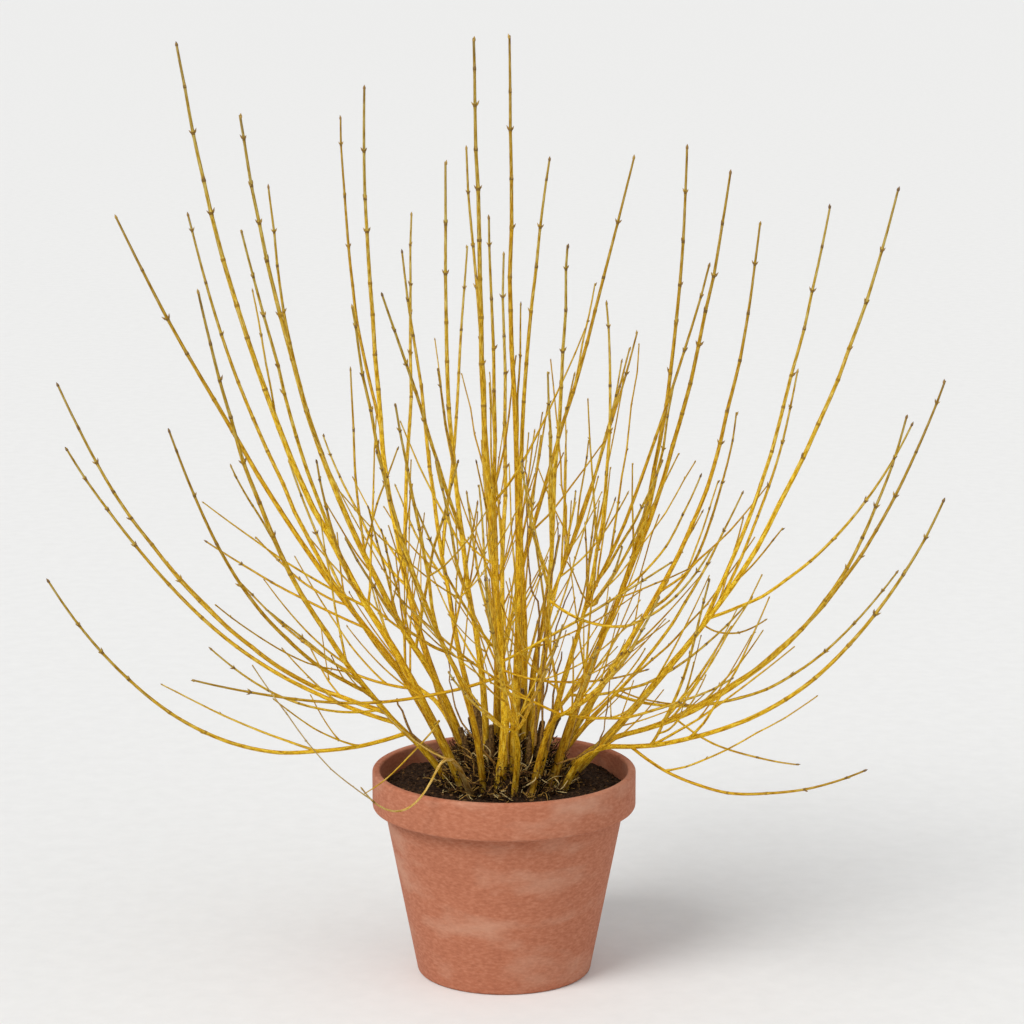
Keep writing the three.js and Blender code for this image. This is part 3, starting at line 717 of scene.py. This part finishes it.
BRANCH_AGE = 0.05  # what a limb's foot adds to the age of the bark that it leaves
TWIG_TIP_AGE = 0.7
SHORT_TIP_AGE = 0.66  # a shoot's tip comes nearer to this age the shorter the shoot is
LONG_SHOOT = 850  # a shoot this long in mm or longer has a tip of age 1
SHOOT_LATE, TWIG_LATE = 1.15, 1.6  # how much of the change of age comes near the tip


def limb_age(limb, shares):
    """The age that the bark's colour goes by, from 0 at a stem's foot to 1 at a long shoot's tip."""
    if limb.kind == "stem":
        return FORK_AGE * shares
    born = limb_age(limb.parent, limb.leaves_at) + BRANCH_AGE if limb.parent else FORK_AGE
    if limb.kind == "shoot":
        tip_age = max(born, lerp((SHORT_TIP_AGE, 1), min(1, limb.length / LONG_SHOOT)))
        return born + (tip_age - born) * shares**SHOOT_LATE
    return born + (TWIG_TIP_AGE - born) * shares**TWIG_LATE


def clothe(piece, limb, dice):
    """Lays bark over a limb."""
    length = limb.length
    end = length - SHORT_BY[limb.kind]
    along = set(np.linspace(0, end, max(3, math.ceil(end / RING_STEP[limb.kind]))))
    for joint in limb.joints:
        near = {joint * length + ring for ring in JOINT_RINGS[limb.kind]}
        along = {s for s in along if abs(s - joint * length) > JOINT_CLEAR or s in (0, end)} | near
    along = np.array(sorted(s for s in along if 0 <= s <= end))
    shares = along / length
    centres, _, side, over = axis(limb, shares)
    sides = SIDES[limb.kind]
    middle = (shares[1:] + shares[:-1]) / 2
    ages = limb_age(limb, middle)
    tone = (limb.stem * 7 + len(limb.joints)) % len(TONES)
    if STEMS[limb.stem][0] == PALE_STEM:
        tone = len(TONES)
    finish = bark_finish(np.repeat(ages[:, None], sides, axis=1), tone, dice)
    marked = [joint for joint in limb.joints if limb.kind == "shoot" and joint > MARKED_FROM]
    for joint in marked:
        near = np.abs(middle - joint) * length < JOINT_REACH
        finish[near] = JOINT_FINISH + int(joint > TIP_MARKS_FROM)
    piece.tube(centres, thickness(limb, shares), side, over, sides, finish, along,
               relief_of(limb, along, sides))


# Buds

BUD_LENGTH = 7.8
BUD_RADIUS = 1.5
BUD_SIDES = 6
BUD_SIDE_FROM = (0.31, 0.87, 0.38)  # a heading that no bud has
BUD_SPREAD = 0.5  # radians between a bud and its shoot
BUD_SUNK = 0.75  # the share of the shoot's radius at which a bud starts
BUD_SHAPE = ((0, 0.72), (0.22, 1), (0.5, 0.9), (0.8, 0.42), (1, 0.1))  # shares of its length and radius
BUD_SIZE, LARGEST_BUD = (0.8, 1.15), 1.1
TIP_BUD_LENGTH = by_kind(0, 8.5, 4.5, 4.5)
TIP_BUD_SWELL = by_kind(0, 1.38, 1.15, 1.15)  # a tip bud's radius, in radii of the tip
TIP_BUD_TURN = 0.45  # a tip bud may point this many radians aside
BUDS_FROM = (0.42, 0.85)  # the share of buds that are left grows from none to all between these shares
TWIG_BUDS = 0.4  # the share of buds that are left on side twigs
FULL_BUD_RADIUS = 2.8  # the radius of a shoot that bears buds of the full size


def bud(piece, start, heading, length, radius, finish):
    """A pointed bud: a spindle round its heading."""
    heading = unit(heading)
    side = unit(np.cross(heading, BUD_SIDE_FROM))
    over = np.cross(heading, side)
    shares, widths = np.array(BUD_SHAPE).T
    centres = start + heading * (shares * length)[:, None]
    side, over = (np.tile(ray, (len(shares), 1)) for ray in (side, over))
    piece.tube(centres, radius * widths, side, over, BUD_SIDES, finish, shares * length)


def bud_limb(piece, limb, dice):
    """A tip bud, and a small bud on each bare side of each joint."""
    strong = limb.kind == "shoot"
    tip_length = TIP_BUD_LENGTH[limb.kind]
    tip_radius = TIP_BUD_SWELL[limb.kind] * limb.radii[1]
    start = 1 - tip_length / limb.length
    centre, tangent, side, over = axis(limb, start)
    turn, aside = dice.uniform(0, TURN), math.tan(TIP_BUD_TURN * dice.uniform(0, 1) ** 2)
    heading = tangent + aside * between(side, over, turn)
    bud(piece, centre, heading, tip_length, tip_radius, int(dice.integers(0, 3 if strong else 2)))
    if limb.kind == "fine":
        return
    for place, hand in limb.bare:
        t = limb.joints[place]
        left = (t - BUDS_FROM[0]) / (BUDS_FROM[1] - BUDS_FROM[0]) if strong else TWIG_BUDS
        if dice.uniform(0, 1) > left:
            continue
        centre, tangent, side, over = axis(limb, t)
        outward = between(side, over, limb.phase + place * (math.pi / 2)) * hand
        radius = float(thickness(limb, t))
        foot = centre + outward * radius * BUD_SUNK
        heading = between(tangent, outward, BUD_SPREAD)
        size = min(LARGEST_BUD, radius / FULL_BUD_RADIUS) * dice.uniform(*BUD_SIZE)
        bud(piece, foot, heading, BUD_LENGTH * size, BUD_RADIUS * size, int(dice.integers(0, 2)))


# The crown, its litter, old stubs and dead twigs

LITTER_COLOURS = (
    ("litter_black", (36, 23, 15)), ("litter_brown", (94, 66, 36)), ("litter_tan", (164, 126, 64)),
    ("litter_pale", (214, 188, 130)),
)
LITTER_TONES = (0.6, 1, 1.2)
LITTER_SHARES = (0.36, 0.34, 0.21, 0.09)
LITTER_COUNT = 2600
LITTER_REACH = 1.12  # how far out litter lies, as a share of the crown's radius
LITTER_OVER_MOUND = (-2, 7)
LITTER_LENGTH = (9, 38)
LITTER_RADIUS, LITTER_TAPER, LITTER_ROUGH = (0.5, 1.7), 0.5, 0.3
LITTER_YAW, LITTER_TILT = 1.1, (0.4, 0.38)  # spread of the yaw; middle and spread of the tilt, in radians
LITTER_BEND = 0.22
LITTER_CLEAR = 0.6  # the least that it lies over the mound
CROWN_TURNS, CROWN_RINGS = 190, 44
CROWN_LOBING = 0.07
CROWN_LUMPS = ((34, 8), (13, 8), (5, 5))  # the size and height of lumps
CROWN_EDGE, CROWN_FLOOR = -4, -3  # the heights of the mound's edge and of its next lowest points

OLD_WOOD = (  # name, colours, roughness, grain and relief
    ("dead_wood", ((48, 32, 18), (98, 72, 38), (150, 118, 66)), (0.9, 0.7), 3.2, 1.2),
    ("dead_twig", ((98, 68, 30), (142, 104, 48), (176, 138, 72)), (0.9, 0.7), 3, 0.5),
    ("cut_wood", ((96, 72, 40), (136, 106, 62), (166, 136, 88)), (0.9, 0.8), 1.5, 0.3),
)
DEAD_WOOD, DEAD_TWIG, CUT_WOOD = range(3)

# Old cut stems: the top and foot of each, as (across, up, depth), and its radius
STUBS = (
    ((-48, 132, -20), (-28, 50, -30), 6), ((-30, 102, -52), (-24, 46, -56), 4.6),
    ((28, 150, -4), (15, 50, -10), 5), ((62, 98, -46), (54, 40, -52), 4.6),
    ((-8, 100, 34), (-6, 56, 30), 5.2), ((88, 106, 24), (64, 44, 20), 4.6),
    ((-70, 88, -26), (-56, 36, -36), 4.4), ((44, 82, -60), (40, 30, -64), 4),
    ((-20, 92, -62), (-18, 32, -66), 4), ((38, 108, 48), (28, 58, 42), 4.8),
    ((-54, 104, 40), (-40, 58, 34), 4.6),
)
STUB_FLARE, STUB_CROOKED = 1.25, 1.5
STUB_SIDES, STUB_STEP, STUB_ROUGH = 10, 3.5, 0.09
CUT_DEPTH, CUT_RISE, CUT_RADIUS, CUT_ROUGH = 0.5, 0.8, (0.9, 0.8), 0.1  # the cut face on top of a stub

# Thin dead twigs: points as (across, up, depth), and the radius at the foot
DEAD_TWIGS = (
    (((-92, 34, -40), (-147, 78, -56), (-159, 104, -60), (-172, 136, -64)), 2.3),
    (((70, 52, -72), (80, 141, -96), (86, 176, -104), (93, 209, -112)), 1.8),
    (((50, 60, -84), (56, 266, -126), (42, 318, -128), (38, 393, -124), (36, 468, -118),
      (30, 522, -112)), 1.5),
    (((60, 60, -80), (66, 270, -150), (75, 327, -158), (86, 392, -164), (84, 428, -166)), 1.5),
    (((96, 46, -50), (105, 60, -110), (116, 102, -124), (128, 154, -134)), 1.2),
    (((86, 30, -60), (150, 60, -130), (168, 144, -142), (170, 182, -146)), 1.3),
    (((-14, 30, -80), (-66, 96, -110), (-84, 150, -120), (-88, 214, -126)), 1.5),
    (((-40, 34, 60), (-60, 150, 110), (-76, 230, 130), (-84, 300, 138)), 1.6),
    (((30, 34, 64), (70, 160, 120), (84, 250, 140), (110, 320, 150)), 1.6),
    (((8, 30, -92), (4, 62, -98), (8, 82, -96)), 0.9),
    (((-30, 28, -84), (-45, 52, -92), (-34, 76, -90)), 0.9),
)
DEAD_TAPER, DEAD_ROUGH = (1.4, 0.6), 0.2
DEAD_KINK_STEP, DEAD_KINK = 17, 0.9  # how often a dead twig is crooked, and by how much

# A long thin live twig that hangs over the rim at the front left
HANGING_FROM = ("left_main", 0.42)  # the stem that it grows on, and where
HANGING_TWIG = ((-104, 98, -140), (-124, 72, -170), (-184, 10, -214), (-226, -20, -236))
HANGING_RADII = (2, 0.9)
HANGING_STEP = 9
HANGING_FINISH = 9  # the place in BARK of the age that it has all along

WAND_SIDE_FROM = (0.21, 0.95, 0.24)  # a heading that no stick has


def spline(marks, step):
    """A smooth line through the marks, with a point about every step."""
    marks = np.asarray(marks, float)
    padded = np.vstack([2 * marks[0] - marks[1], marks, 2 * marks[-1] - marks[-2]])
    made = []
    for a, b, c, d in zip(padded, padded[1:], padded[2:], padded[3:]):
        count = max(2, math.ceil(np.linalg.norm(c - b) / step))
        t = np.arange(count)[:, None] / count
        made.append(0.5 * (2 * b + (c - a) * t + (2 * a - 5 * b + 4 * c - d) * t**2
                           + (3 * b - a - 3 * c + d) * t**3))
    return np.vstack([*made, marks[-1:]])


def wand(piece, marks, radii, sides, finish, step, dice, rough=0.0):
    """A thin stick with radii from its foot to its end, along a smooth line unless step is None."""
    centres = spline(marks, step) if step else np.asarray(marks)
    tangent = unit(np.gradient(centres, axis=0))
    side = unit(np.cross(tangent, WAND_SIDE_FROM))
    along = np.concatenate([[0], np.linalg.norm(np.diff(centres, axis=0), axis=1).cumsum()])
    relief = 1 + rough * dice.uniform(-1, 1, (len(centres), sides))
    piece.tube(centres, lerp(radii, along / along[-1]), side, np.cross(tangent, side), sides, finish, along,
               relief)


def mound_height(radius):
    return CROWN_HEIGHT * math.sqrt(max(0.0, 1 - (radius / CROWN_RADIUS) ** 2))


def lumpy(point, sizes, seed=0.0):
    """A smooth random height in mm from noise of several (size, height)."""
    total = 0.0
    for size, height in sizes:
        total += height * noise.noise(Vector(point) / size + Vector((seed, 0, 0)))
    return total


def crown_piece():
    """The mound at the soil, lobed as in the part, with a crumbly surface."""
    piece = Piece("crown_mound", "crown_wood", [
        surface("crown_dark", [(20, 12, 8), (52, 34, 20), (104, 76, 42)], (0.95, 0.75), 4, 3, shine=DULL)])
    points = []
    for ring in range(CROWN_RINGS + 1):
        rise = ring / CROWN_RINGS * math.pi / 2
        for step in range(CROWN_TURNS):
            turn = step / CROWN_TURNS * TURN
            lobe = 1 - CROWN_LOBING * (0.5 + 0.5 * math.cos(CROWN_LOBES * turn))
            out = Vector(polar(math.cos(rise), turn, math.sin(rise)))
            place = Vector((out.x * CROWN_RADIUS * lobe, out.y * CROWN_RADIUS * lobe, out.z * CROWN_HEIGHT))
            place += out * lumpy(place, CROWN_LUMPS)
            points.append((place.x, place.y, max(place.z, CROWN_FLOOR) if ring else CROWN_EDGE))
    piece.add(np.array(points), ring_quads(CROWN_RINGS + 1, CROWN_TURNS)[0], 0)
    return piece


def litter_piece(dice):
    """Dead fibres, leaf bits and bark flakes packed between the stems."""
    piece = Piece("crown_litter", "crown_wood", [
        surface(name, shades(colour, LITTER_TONES), (0.95, 0.7), 3, 0.6, shine=DULL)
        for name, colour in LITTER_COLOURS])
    for _ in range(LITTER_COUNT):
        out = CROWN_RADIUS * LITTER_REACH * math.sqrt(dice.uniform(0, 1))
        turn = dice.uniform(0, TURN)
        foot = np.array(polar(out, turn, mound_height(out) + dice.uniform(*LITTER_OVER_MOUND)))
        yaw, tilt = turn + dice.normal(0, LITTER_YAW), dice.normal(*LITTER_TILT)
        heading = np.array(polar(math.cos(tilt), yaw, math.sin(tilt)))
        length = dice.uniform(*LITTER_LENGTH)
        bend = dice.normal(0, LITTER_BEND, 3) * length
        marks = [foot, foot + heading * 0.5 * length + bend, foot + heading * length]
        for mark in marks:
            mark[2] = max(mark[2], mound_height(math.hypot(mark[0], mark[1])) + LITTER_CLEAR)
        radius = dice.uniform(*LITTER_RADIUS)
        finish = int(dice.choice(len(LITTER_COLOURS), p=LITTER_SHARES))
        wand(piece, marks, (radius, radius * LITTER_TAPER), 4, finish, length / 4, dice, LITTER_ROUGH)
    return piece


def dead_piece(dice):
    """Old stubs, cut flat, and dead twigs."""
    piece = Piece("old_stubs", "crown_wood", [surface(*wood, shine=DULL) for wood in OLD_WOOD])
    for top, foot, radius in STUBS:
        top, foot = sighted(*top), sighted(*foot)
        middle = (top + foot) / 2 + dice.normal(0, STUB_CROOKED, 3)
        radii = (radius * STUB_FLARE, radius)
        wand(piece, [foot, middle, top], radii, STUB_SIDES, DEAD_WOOD, STUB_STEP, dice, STUB_ROUGH)
        cut = [top - (0, 0, CUT_DEPTH), top, top + (0, 0, CUT_RISE)]
        wand(piece, cut, [radius * share for share in CUT_RADIUS], STUB_SIDES, CUT_WOOD, 1, dice, CUT_ROUGH)
    for marks, radius in DEAD_TWIGS:
        crooked = spline([sighted(*mark) for mark in marks], DEAD_KINK_STEP)
        crooked[1:] += dice.normal(0, DEAD_KINK, (len(crooked) - 1, 3))
        wand(piece, crooked, [radius * share for share in DEAD_TAPER], 6, DEAD_TWIG, None, dice, DEAD_ROUGH)
    return piece


# The soil and the pot

SOIL_RINGS, SOIL_SIDES, POT_SIDES = 74, 220, 160
SOIL_LUMPS, SOIL_SEED = ((48, 5), (15, 3.2), (6, 2)), 4.5
SOIL_SINK = 5  # how much lower the soil is at its edge
SOIL_CLEAR = 0.6  # between the soil and the pot's wall
SOIL_HUB = 0.012  # the share of the soil's radius within its innermost ring
CRUMBS = 1700
CRUMB_SIZE = (0.9, 3.6)
CRUMB_FLATNESS = 0.7
SMALL_CRUMBS = 2.5  # the higher, the more of them are small
CRUMBS_FROM = 0.12  # the share of the soil, in its middle, that has no crumbs
CRUMBS_EDGE = 5  # how far they keep from the soil's edge
PALE_CRUMBS = 0.16
NEIGHBOURS = 1.1  # the corners of a crumb that are nearer to each other than this share an edge
CLAY_COLOURS = ((158, 92, 64), (172, 104, 74), (184, 118, 88))
LIME = {"spot": (196, 148, 122), "size": 60, "sparse": 0.52, "soft": 0.34}


def soil_radius(height):
    """The soil's radius at a height over the pot's underside, as in the part."""
    under_rim = POT_HEIGHT - RIM_HEIGHT
    low, high, top = FOOT_RADIUS - BODY_WALL, BODY_RADIUS - BODY_WALL, RIM_RADIUS - RIM_WALL
    if height < under_rim:
        return lerp((low, high), (height - POT_FLOOR) / (under_rim - POT_FLOOR)) - SOIL_CLEAR
    return lerp((high, top), (height - under_rim) / (RIM_HEIGHT - LIP)) - SOIL_CLEAR


def soil_rise(place, out):
    """How much the lumpy top of the soil is over its level at a place that far out."""
    return lumpy(place, SOIL_LUMPS, SOIL_SEED) - SOIL_SINK * (out / soil_radius(SOIL_LEVEL)) ** 6


def turned(piece, outline, sides, shift=None):
    """A closed outline of (radius, height) that starts and ends on the axis, turned round it."""
    turns = np.arange(sides) * TURN / sides
    inner = outline[1:-1]
    points = [polar(radius, turn, height) for radius, height in inner for turn in turns]
    if shift:
        points = [shift(Vector(point)) for point in points]
    points = np.array(points, float)
    piece.add(points, ring_quads(len(inner), sides)[0], 0)
    piece.cap(points[:sides], (0, 0, outline[0][1]), -1, 0)
    piece.cap(points[-sides:], (0, 0, outline[-1][1]), 1, 0)


def soil_piece():
    """The soil fills the pot, with a lumpy top."""
    piece = Piece("potting_soil", "soil", [
        surface("soil_dark", [(22, 14, 9), (48, 32, 20), (84, 60, 38)], (1.0, 0.8), 4, 2.5, shine=DULL)])
    top, under_rim = SOIL_LEVEL, POT_HEIGHT - RIM_HEIGHT
    rings = [(soil_radius(top) * share, top) for share in np.linspace(1, SOIL_HUB, SOIL_RINGS)]
    outline = [(0, POT_FLOOR + 1), (soil_radius(POT_FLOOR) - 2, POT_FLOOR + 1),
               (soil_radius(under_rim) - 1, under_rim), *rings, (0, top)]

    def shift(point):
        if point.z < top:
            return tuple(point)
        return (point.x, point.y, top + soil_rise(point, math.hypot(point.x, point.y)))

    turned(piece, outline, SOIL_SIDES, shift)
    return piece


def crumb_piece(dice):
    """Crumbs of bark and peat on the soil."""
    piece = Piece("soil_crumbs", "soil", [
        surface("crumb_dark", [(28, 18, 12), (58, 40, 26)], (1.0, 0.8), 2, 0.8, shine=DULL),
        surface("crumb_bark", [(76, 52, 30), (122, 90, 54)], (0.95, 0.8), 2, 0.8, shine=DULL)])
    golden = (1 + 5**0.5) / 2
    corners = unit(np.array([np.roll((a, b * golden, 0), turn)
                             for turn in range(3) for a in (-1, 1) for b in (-1, 1)]))
    near = np.linalg.norm(corners[:, None] - corners, axis=-1) < NEIGHBOURS
    faces = []
    for a, b, c in itertools.combinations(range(len(corners)), 3):
        if near[a, b] and near[b, c] and near[a, c]:
            out = np.dot(np.cross(corners[b] - corners[a], corners[c] - corners[a]), corners[a]) > 0
            faces.append((a, b, c) if out else (a, c, b))
    edge = soil_radius(SOIL_LEVEL) - CRUMBS_EDGE
    for _ in range(CRUMBS):
        out = edge * math.sqrt(dice.uniform(CRUMBS_FROM, 1))
        turn = dice.uniform(0, TURN)
        size = lerp(CRUMB_SIZE, dice.uniform(0, 1) ** SMALL_CRUMBS)
        size = size * dice.uniform(0.7, 1.3, 3) * (1, 1, CRUMB_FLATNESS)
        place = Vector(polar(out, turn, SOIL_LEVEL))
        middle = (place.x, place.y, soil_rise(place, out) + size[2] * 0.3)
        points = corners * size * dice.uniform(0.75, 1.2, (len(corners), 1)) + middle
        piece.add(points, faces, int(dice.uniform(0, 1) < PALE_CRUMBS))
    return piece


def rounded(corners, steps=5):
    """An outline of (radius, height, rounding) corners, each rounded off along a small curve."""
    made = [corners[0][:2]]
    for before, corner, after in zip(corners, corners[1:], corners[2:]):
        here = np.array(corner[:2], float)
        if not corner[2]:
            made.append(tuple(here))
            continue
        inward = here + unit(np.array(before[:2], float) - here) * corner[2]
        outward = here + unit(np.array(after[:2], float) - here) * corner[2]
        for t in np.linspace(0, 1, steps):
            made.append(tuple((1 - t) ** 2 * inward + 2 * (1 - t) * t * here + t * t * outward))
    return [*made, corners[-1][:2]]


def pot_piece():
    """A plain pot of fired clay with a rim band."""
    clay = surface("fired_clay", CLAY_COLOURS, (0.95, 0.78), 4, 0.3, (0.45, 0.45, 1), False, LIME)
    piece = Piece("clay_pot", "clay", [clay])
    under_rim = POT_HEIGHT - RIM_HEIGHT
    inner = RIM_RADIUS - RIM_WALL
    corners = [
        (0, 0, 0), (FOOT_RADIUS, 0, LIP), (lerp((FOOT_RADIUS, BODY_RADIUS), 0.5), under_rim / 2, 0),
        (BODY_RADIUS, under_rim, 3), (RIM_RADIUS, under_rim, 5), (RIM_RADIUS, POT_HEIGHT, 5),
        (inner, POT_HEIGHT, 5), (inner, under_rim + LIP, 2), (BODY_RADIUS - BODY_WALL, under_rim, 2),
        (FOOT_RADIUS - BODY_WALL, POT_FLOOR, 3), (0, POT_FLOOR, 0),
    ]
    turned(piece, rounded(corners), POT_SIDES)
    return piece


# Everything is made and placed

GROUPS = (("left", -60), ("middle", 60), ("right", math.inf))  # shoots are joined by where their fork lies
PLANT_SEED, GROUND_SEED = 5, 23


def make_plant():
    """The stems, shoots, twigs and buds."""
    dice = np.random.default_rng(PLANT_SEED)
    limbs = grow_limbs()
    twigs = grow_twigs(limbs)
    fine = grow_fine(limbs, twigs)
    finishes = bark_finishes()
    stems = Piece("stem_bark", "stem_bark", finishes)
    shoots = {name: Piece(f"shoots_{name}", "shoots", finishes) for name, _ in GROUPS}
    side_twigs = Piece("side_twigs", "shoots", finishes)
    fine_twigs = Piece("fine_twigs", "shoots", finishes)
    buds = Piece("buds", "shoots", [
        surface(f"bud_{number}", shades(colour, BUD_TONES), (0.7, 0.5), 2, 0.3)
        for number, colour in enumerate(BUD_COLOURS)])
    group_of = [next(name for name, limit in GROUPS if stem[3][0] < limit) for stem in STEMS]
    for limb in [*limbs, *twigs, *fine]:
        give_shape(limb, dice)
        pieces = by_kind(stems, shoots[group_of[limb.stem]], side_twigs, fine_twigs)
        clothe(pieces[limb.kind], limb, dice)
        if limb.kind != "stem":
            bud_limb(buds, limb, dice)
    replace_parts(stems.made(), *[f"stem_{stem[0]}" for stem in STEMS])
    for name, piece in shoots.items():
        sprays = [f"spray_{stem[0]}" for stem, group in zip(STEMS, group_of) if group == name]
        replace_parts(piece.made(), *sprays)
    bearer = next(limb for limb in limbs if limb.kind == "stem" and STEMS[limb.stem][0] == HANGING_FROM[0])
    marks = [bearer.points(HANGING_FROM[1]), *(sighted(*mark) for mark in HANGING_TWIG)]
    wand(side_twigs, marks, HANGING_RADII, 6, HANGING_FINISH, HANGING_STEP, dice)
    for piece in (side_twigs, fine_twigs, buds):
        piece.made()
    return limbs, twigs, fine


def make_ground():
    """The crown with its litter, the soil and the pot."""
    dice = np.random.default_rng(GROUND_SEED)
    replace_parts(crown_piece().made(), "crown")
    litter_piece(dice).made()
    dead_piece(dice).made()
    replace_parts(soil_piece().made(0), "soil")
    crumb_piece(dice).made()
    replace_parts(pot_piece().made(0), "pot")


# The stage: camera, floor and light

CAMERA_PLACE = (SIGHT_ACROSS / 1000,
                -SIGHT_DISTANCE * math.cos(SIGHT_PITCH) / 1000,
                (SOIL_LEVEL + SIGHT_HEIGHT + SIGHT_DISTANCE * math.sin(SIGHT_PITCH)) / 1000)
CAMERA_AIM = (SIGHT_ACROSS / 1000, 0, 0.765)  # in metres
CAMERA_LENS, SENSOR_WIDTH = 110, 36
LIGHTS = (  # name, where it shines from, how wide it is in degrees, and its strength
    ("key", (-2.8, -3.0, 4.0), 30, 2.3),
    ("fill", (3.4, -2.2, 2.6), 60, 0.55),
)
SKY_COLOUR, SKY_STRENGTH = (244, 246, 250), 0.57
FLOOR_REACH = 300  # in metres, as is the backdrop
BACKDROP_RADIUS, BACKDROP_HEIGHT, BACKDROP_SIDES = 90, 60, 96
BACKDROP_COLOUR = (241, 241, 240)


def aimed(thing, place, aim):
    thing.location = place
    thing.rotation_euler = (Vector(aim) - Vector(place)).to_track_quat("-Z", "Y").to_euler()
    bpy.context.collection.objects.link(thing)


def staged(name, points, faces, finish):
    """A mesh that isn't part of the object."""
    mesh = bpy.data.meshes.new(name)
    mesh.from_pydata(points, [], faces)
    mesh.materials.append(finish)
    thing = bpy.data.objects.new(name, mesh)
    bpy.context.collection.objects.link(thing)
    return thing


def make_stage():
    """The camera, the lights, the floor and the backdrop."""
    scene = bpy.context.scene
    lens = bpy.data.cameras.new("camera")
    lens.sensor_width = SENSOR_WIDTH
    lens.lens = CAMERA_LENS
    camera = bpy.data.objects.new("camera", lens)
    aimed(camera, CAMERA_PLACE, CAMERA_AIM)
    scene.camera = camera
    for name, place, width, strength in LIGHTS:
        lamp = bpy.data.lights.new(name, "SUN")
        lamp.angle, lamp.energy = math.radians(width), strength
        aimed(bpy.data.objects.new(name, lamp), place, (0, 0, 0))
    world = bpy.data.worlds.new("studio")
    world.use_nodes = True
    sky = world.node_tree.nodes["Background"].inputs
    sky["Color"].default_value = linear(SKY_COLOUR)
    sky["Strength"].default_value = SKY_STRENGTH
    scene.world = world
    scene.view_settings.view_transform = "Standard"
    corners = [(x * FLOOR_REACH, y * FLOOR_REACH, 0) for x, y in ((-1, -1), (1, -1), (1, 1), (-1, 1))]
    staged("floor", corners, [(0, 1, 2, 3)],
           surface("floor_pale", [(226, 225, 222), (230, 229, 226)], (0.9, 0.8), 40, 0.2))
    make_backdrop()


def make_backdrop():
    """A far round wall as pale as the floor. It neither lights nor shades the plant."""
    turns = np.arange(BACKDROP_SIDES) * TURN / BACKDROP_SIDES
    points = [polar(BACKDROP_RADIUS, turn, height) for height in (0, BACKDROP_HEIGHT) for turn in turns]
    pale = surface("backdrop_pale", [(0, 0, 0), (0, 0, 0)], (1, 1), 40, 0, shine=0)
    glow = pale.node_tree.nodes["Principled BSDF"].inputs
    glow["Emission Color"].default_value = linear(BACKDROP_COLOUR)
    glow["Emission Strength"].default_value = 1
    backdrop = staged("backdrop", points, ring_quads(2, BACKDROP_SIDES)[0].tolist(), pale)
    backdrop.visible_diffuse = backdrop.visible_glossy = backdrop.visible_shadow = False
    backdrop.visible_transmission = backdrop.visible_volume_scatter = False


make_stage()
plant = make_plant()
make_ground()

print("limbs, twigs, finer twigs:", *map(len, plant))
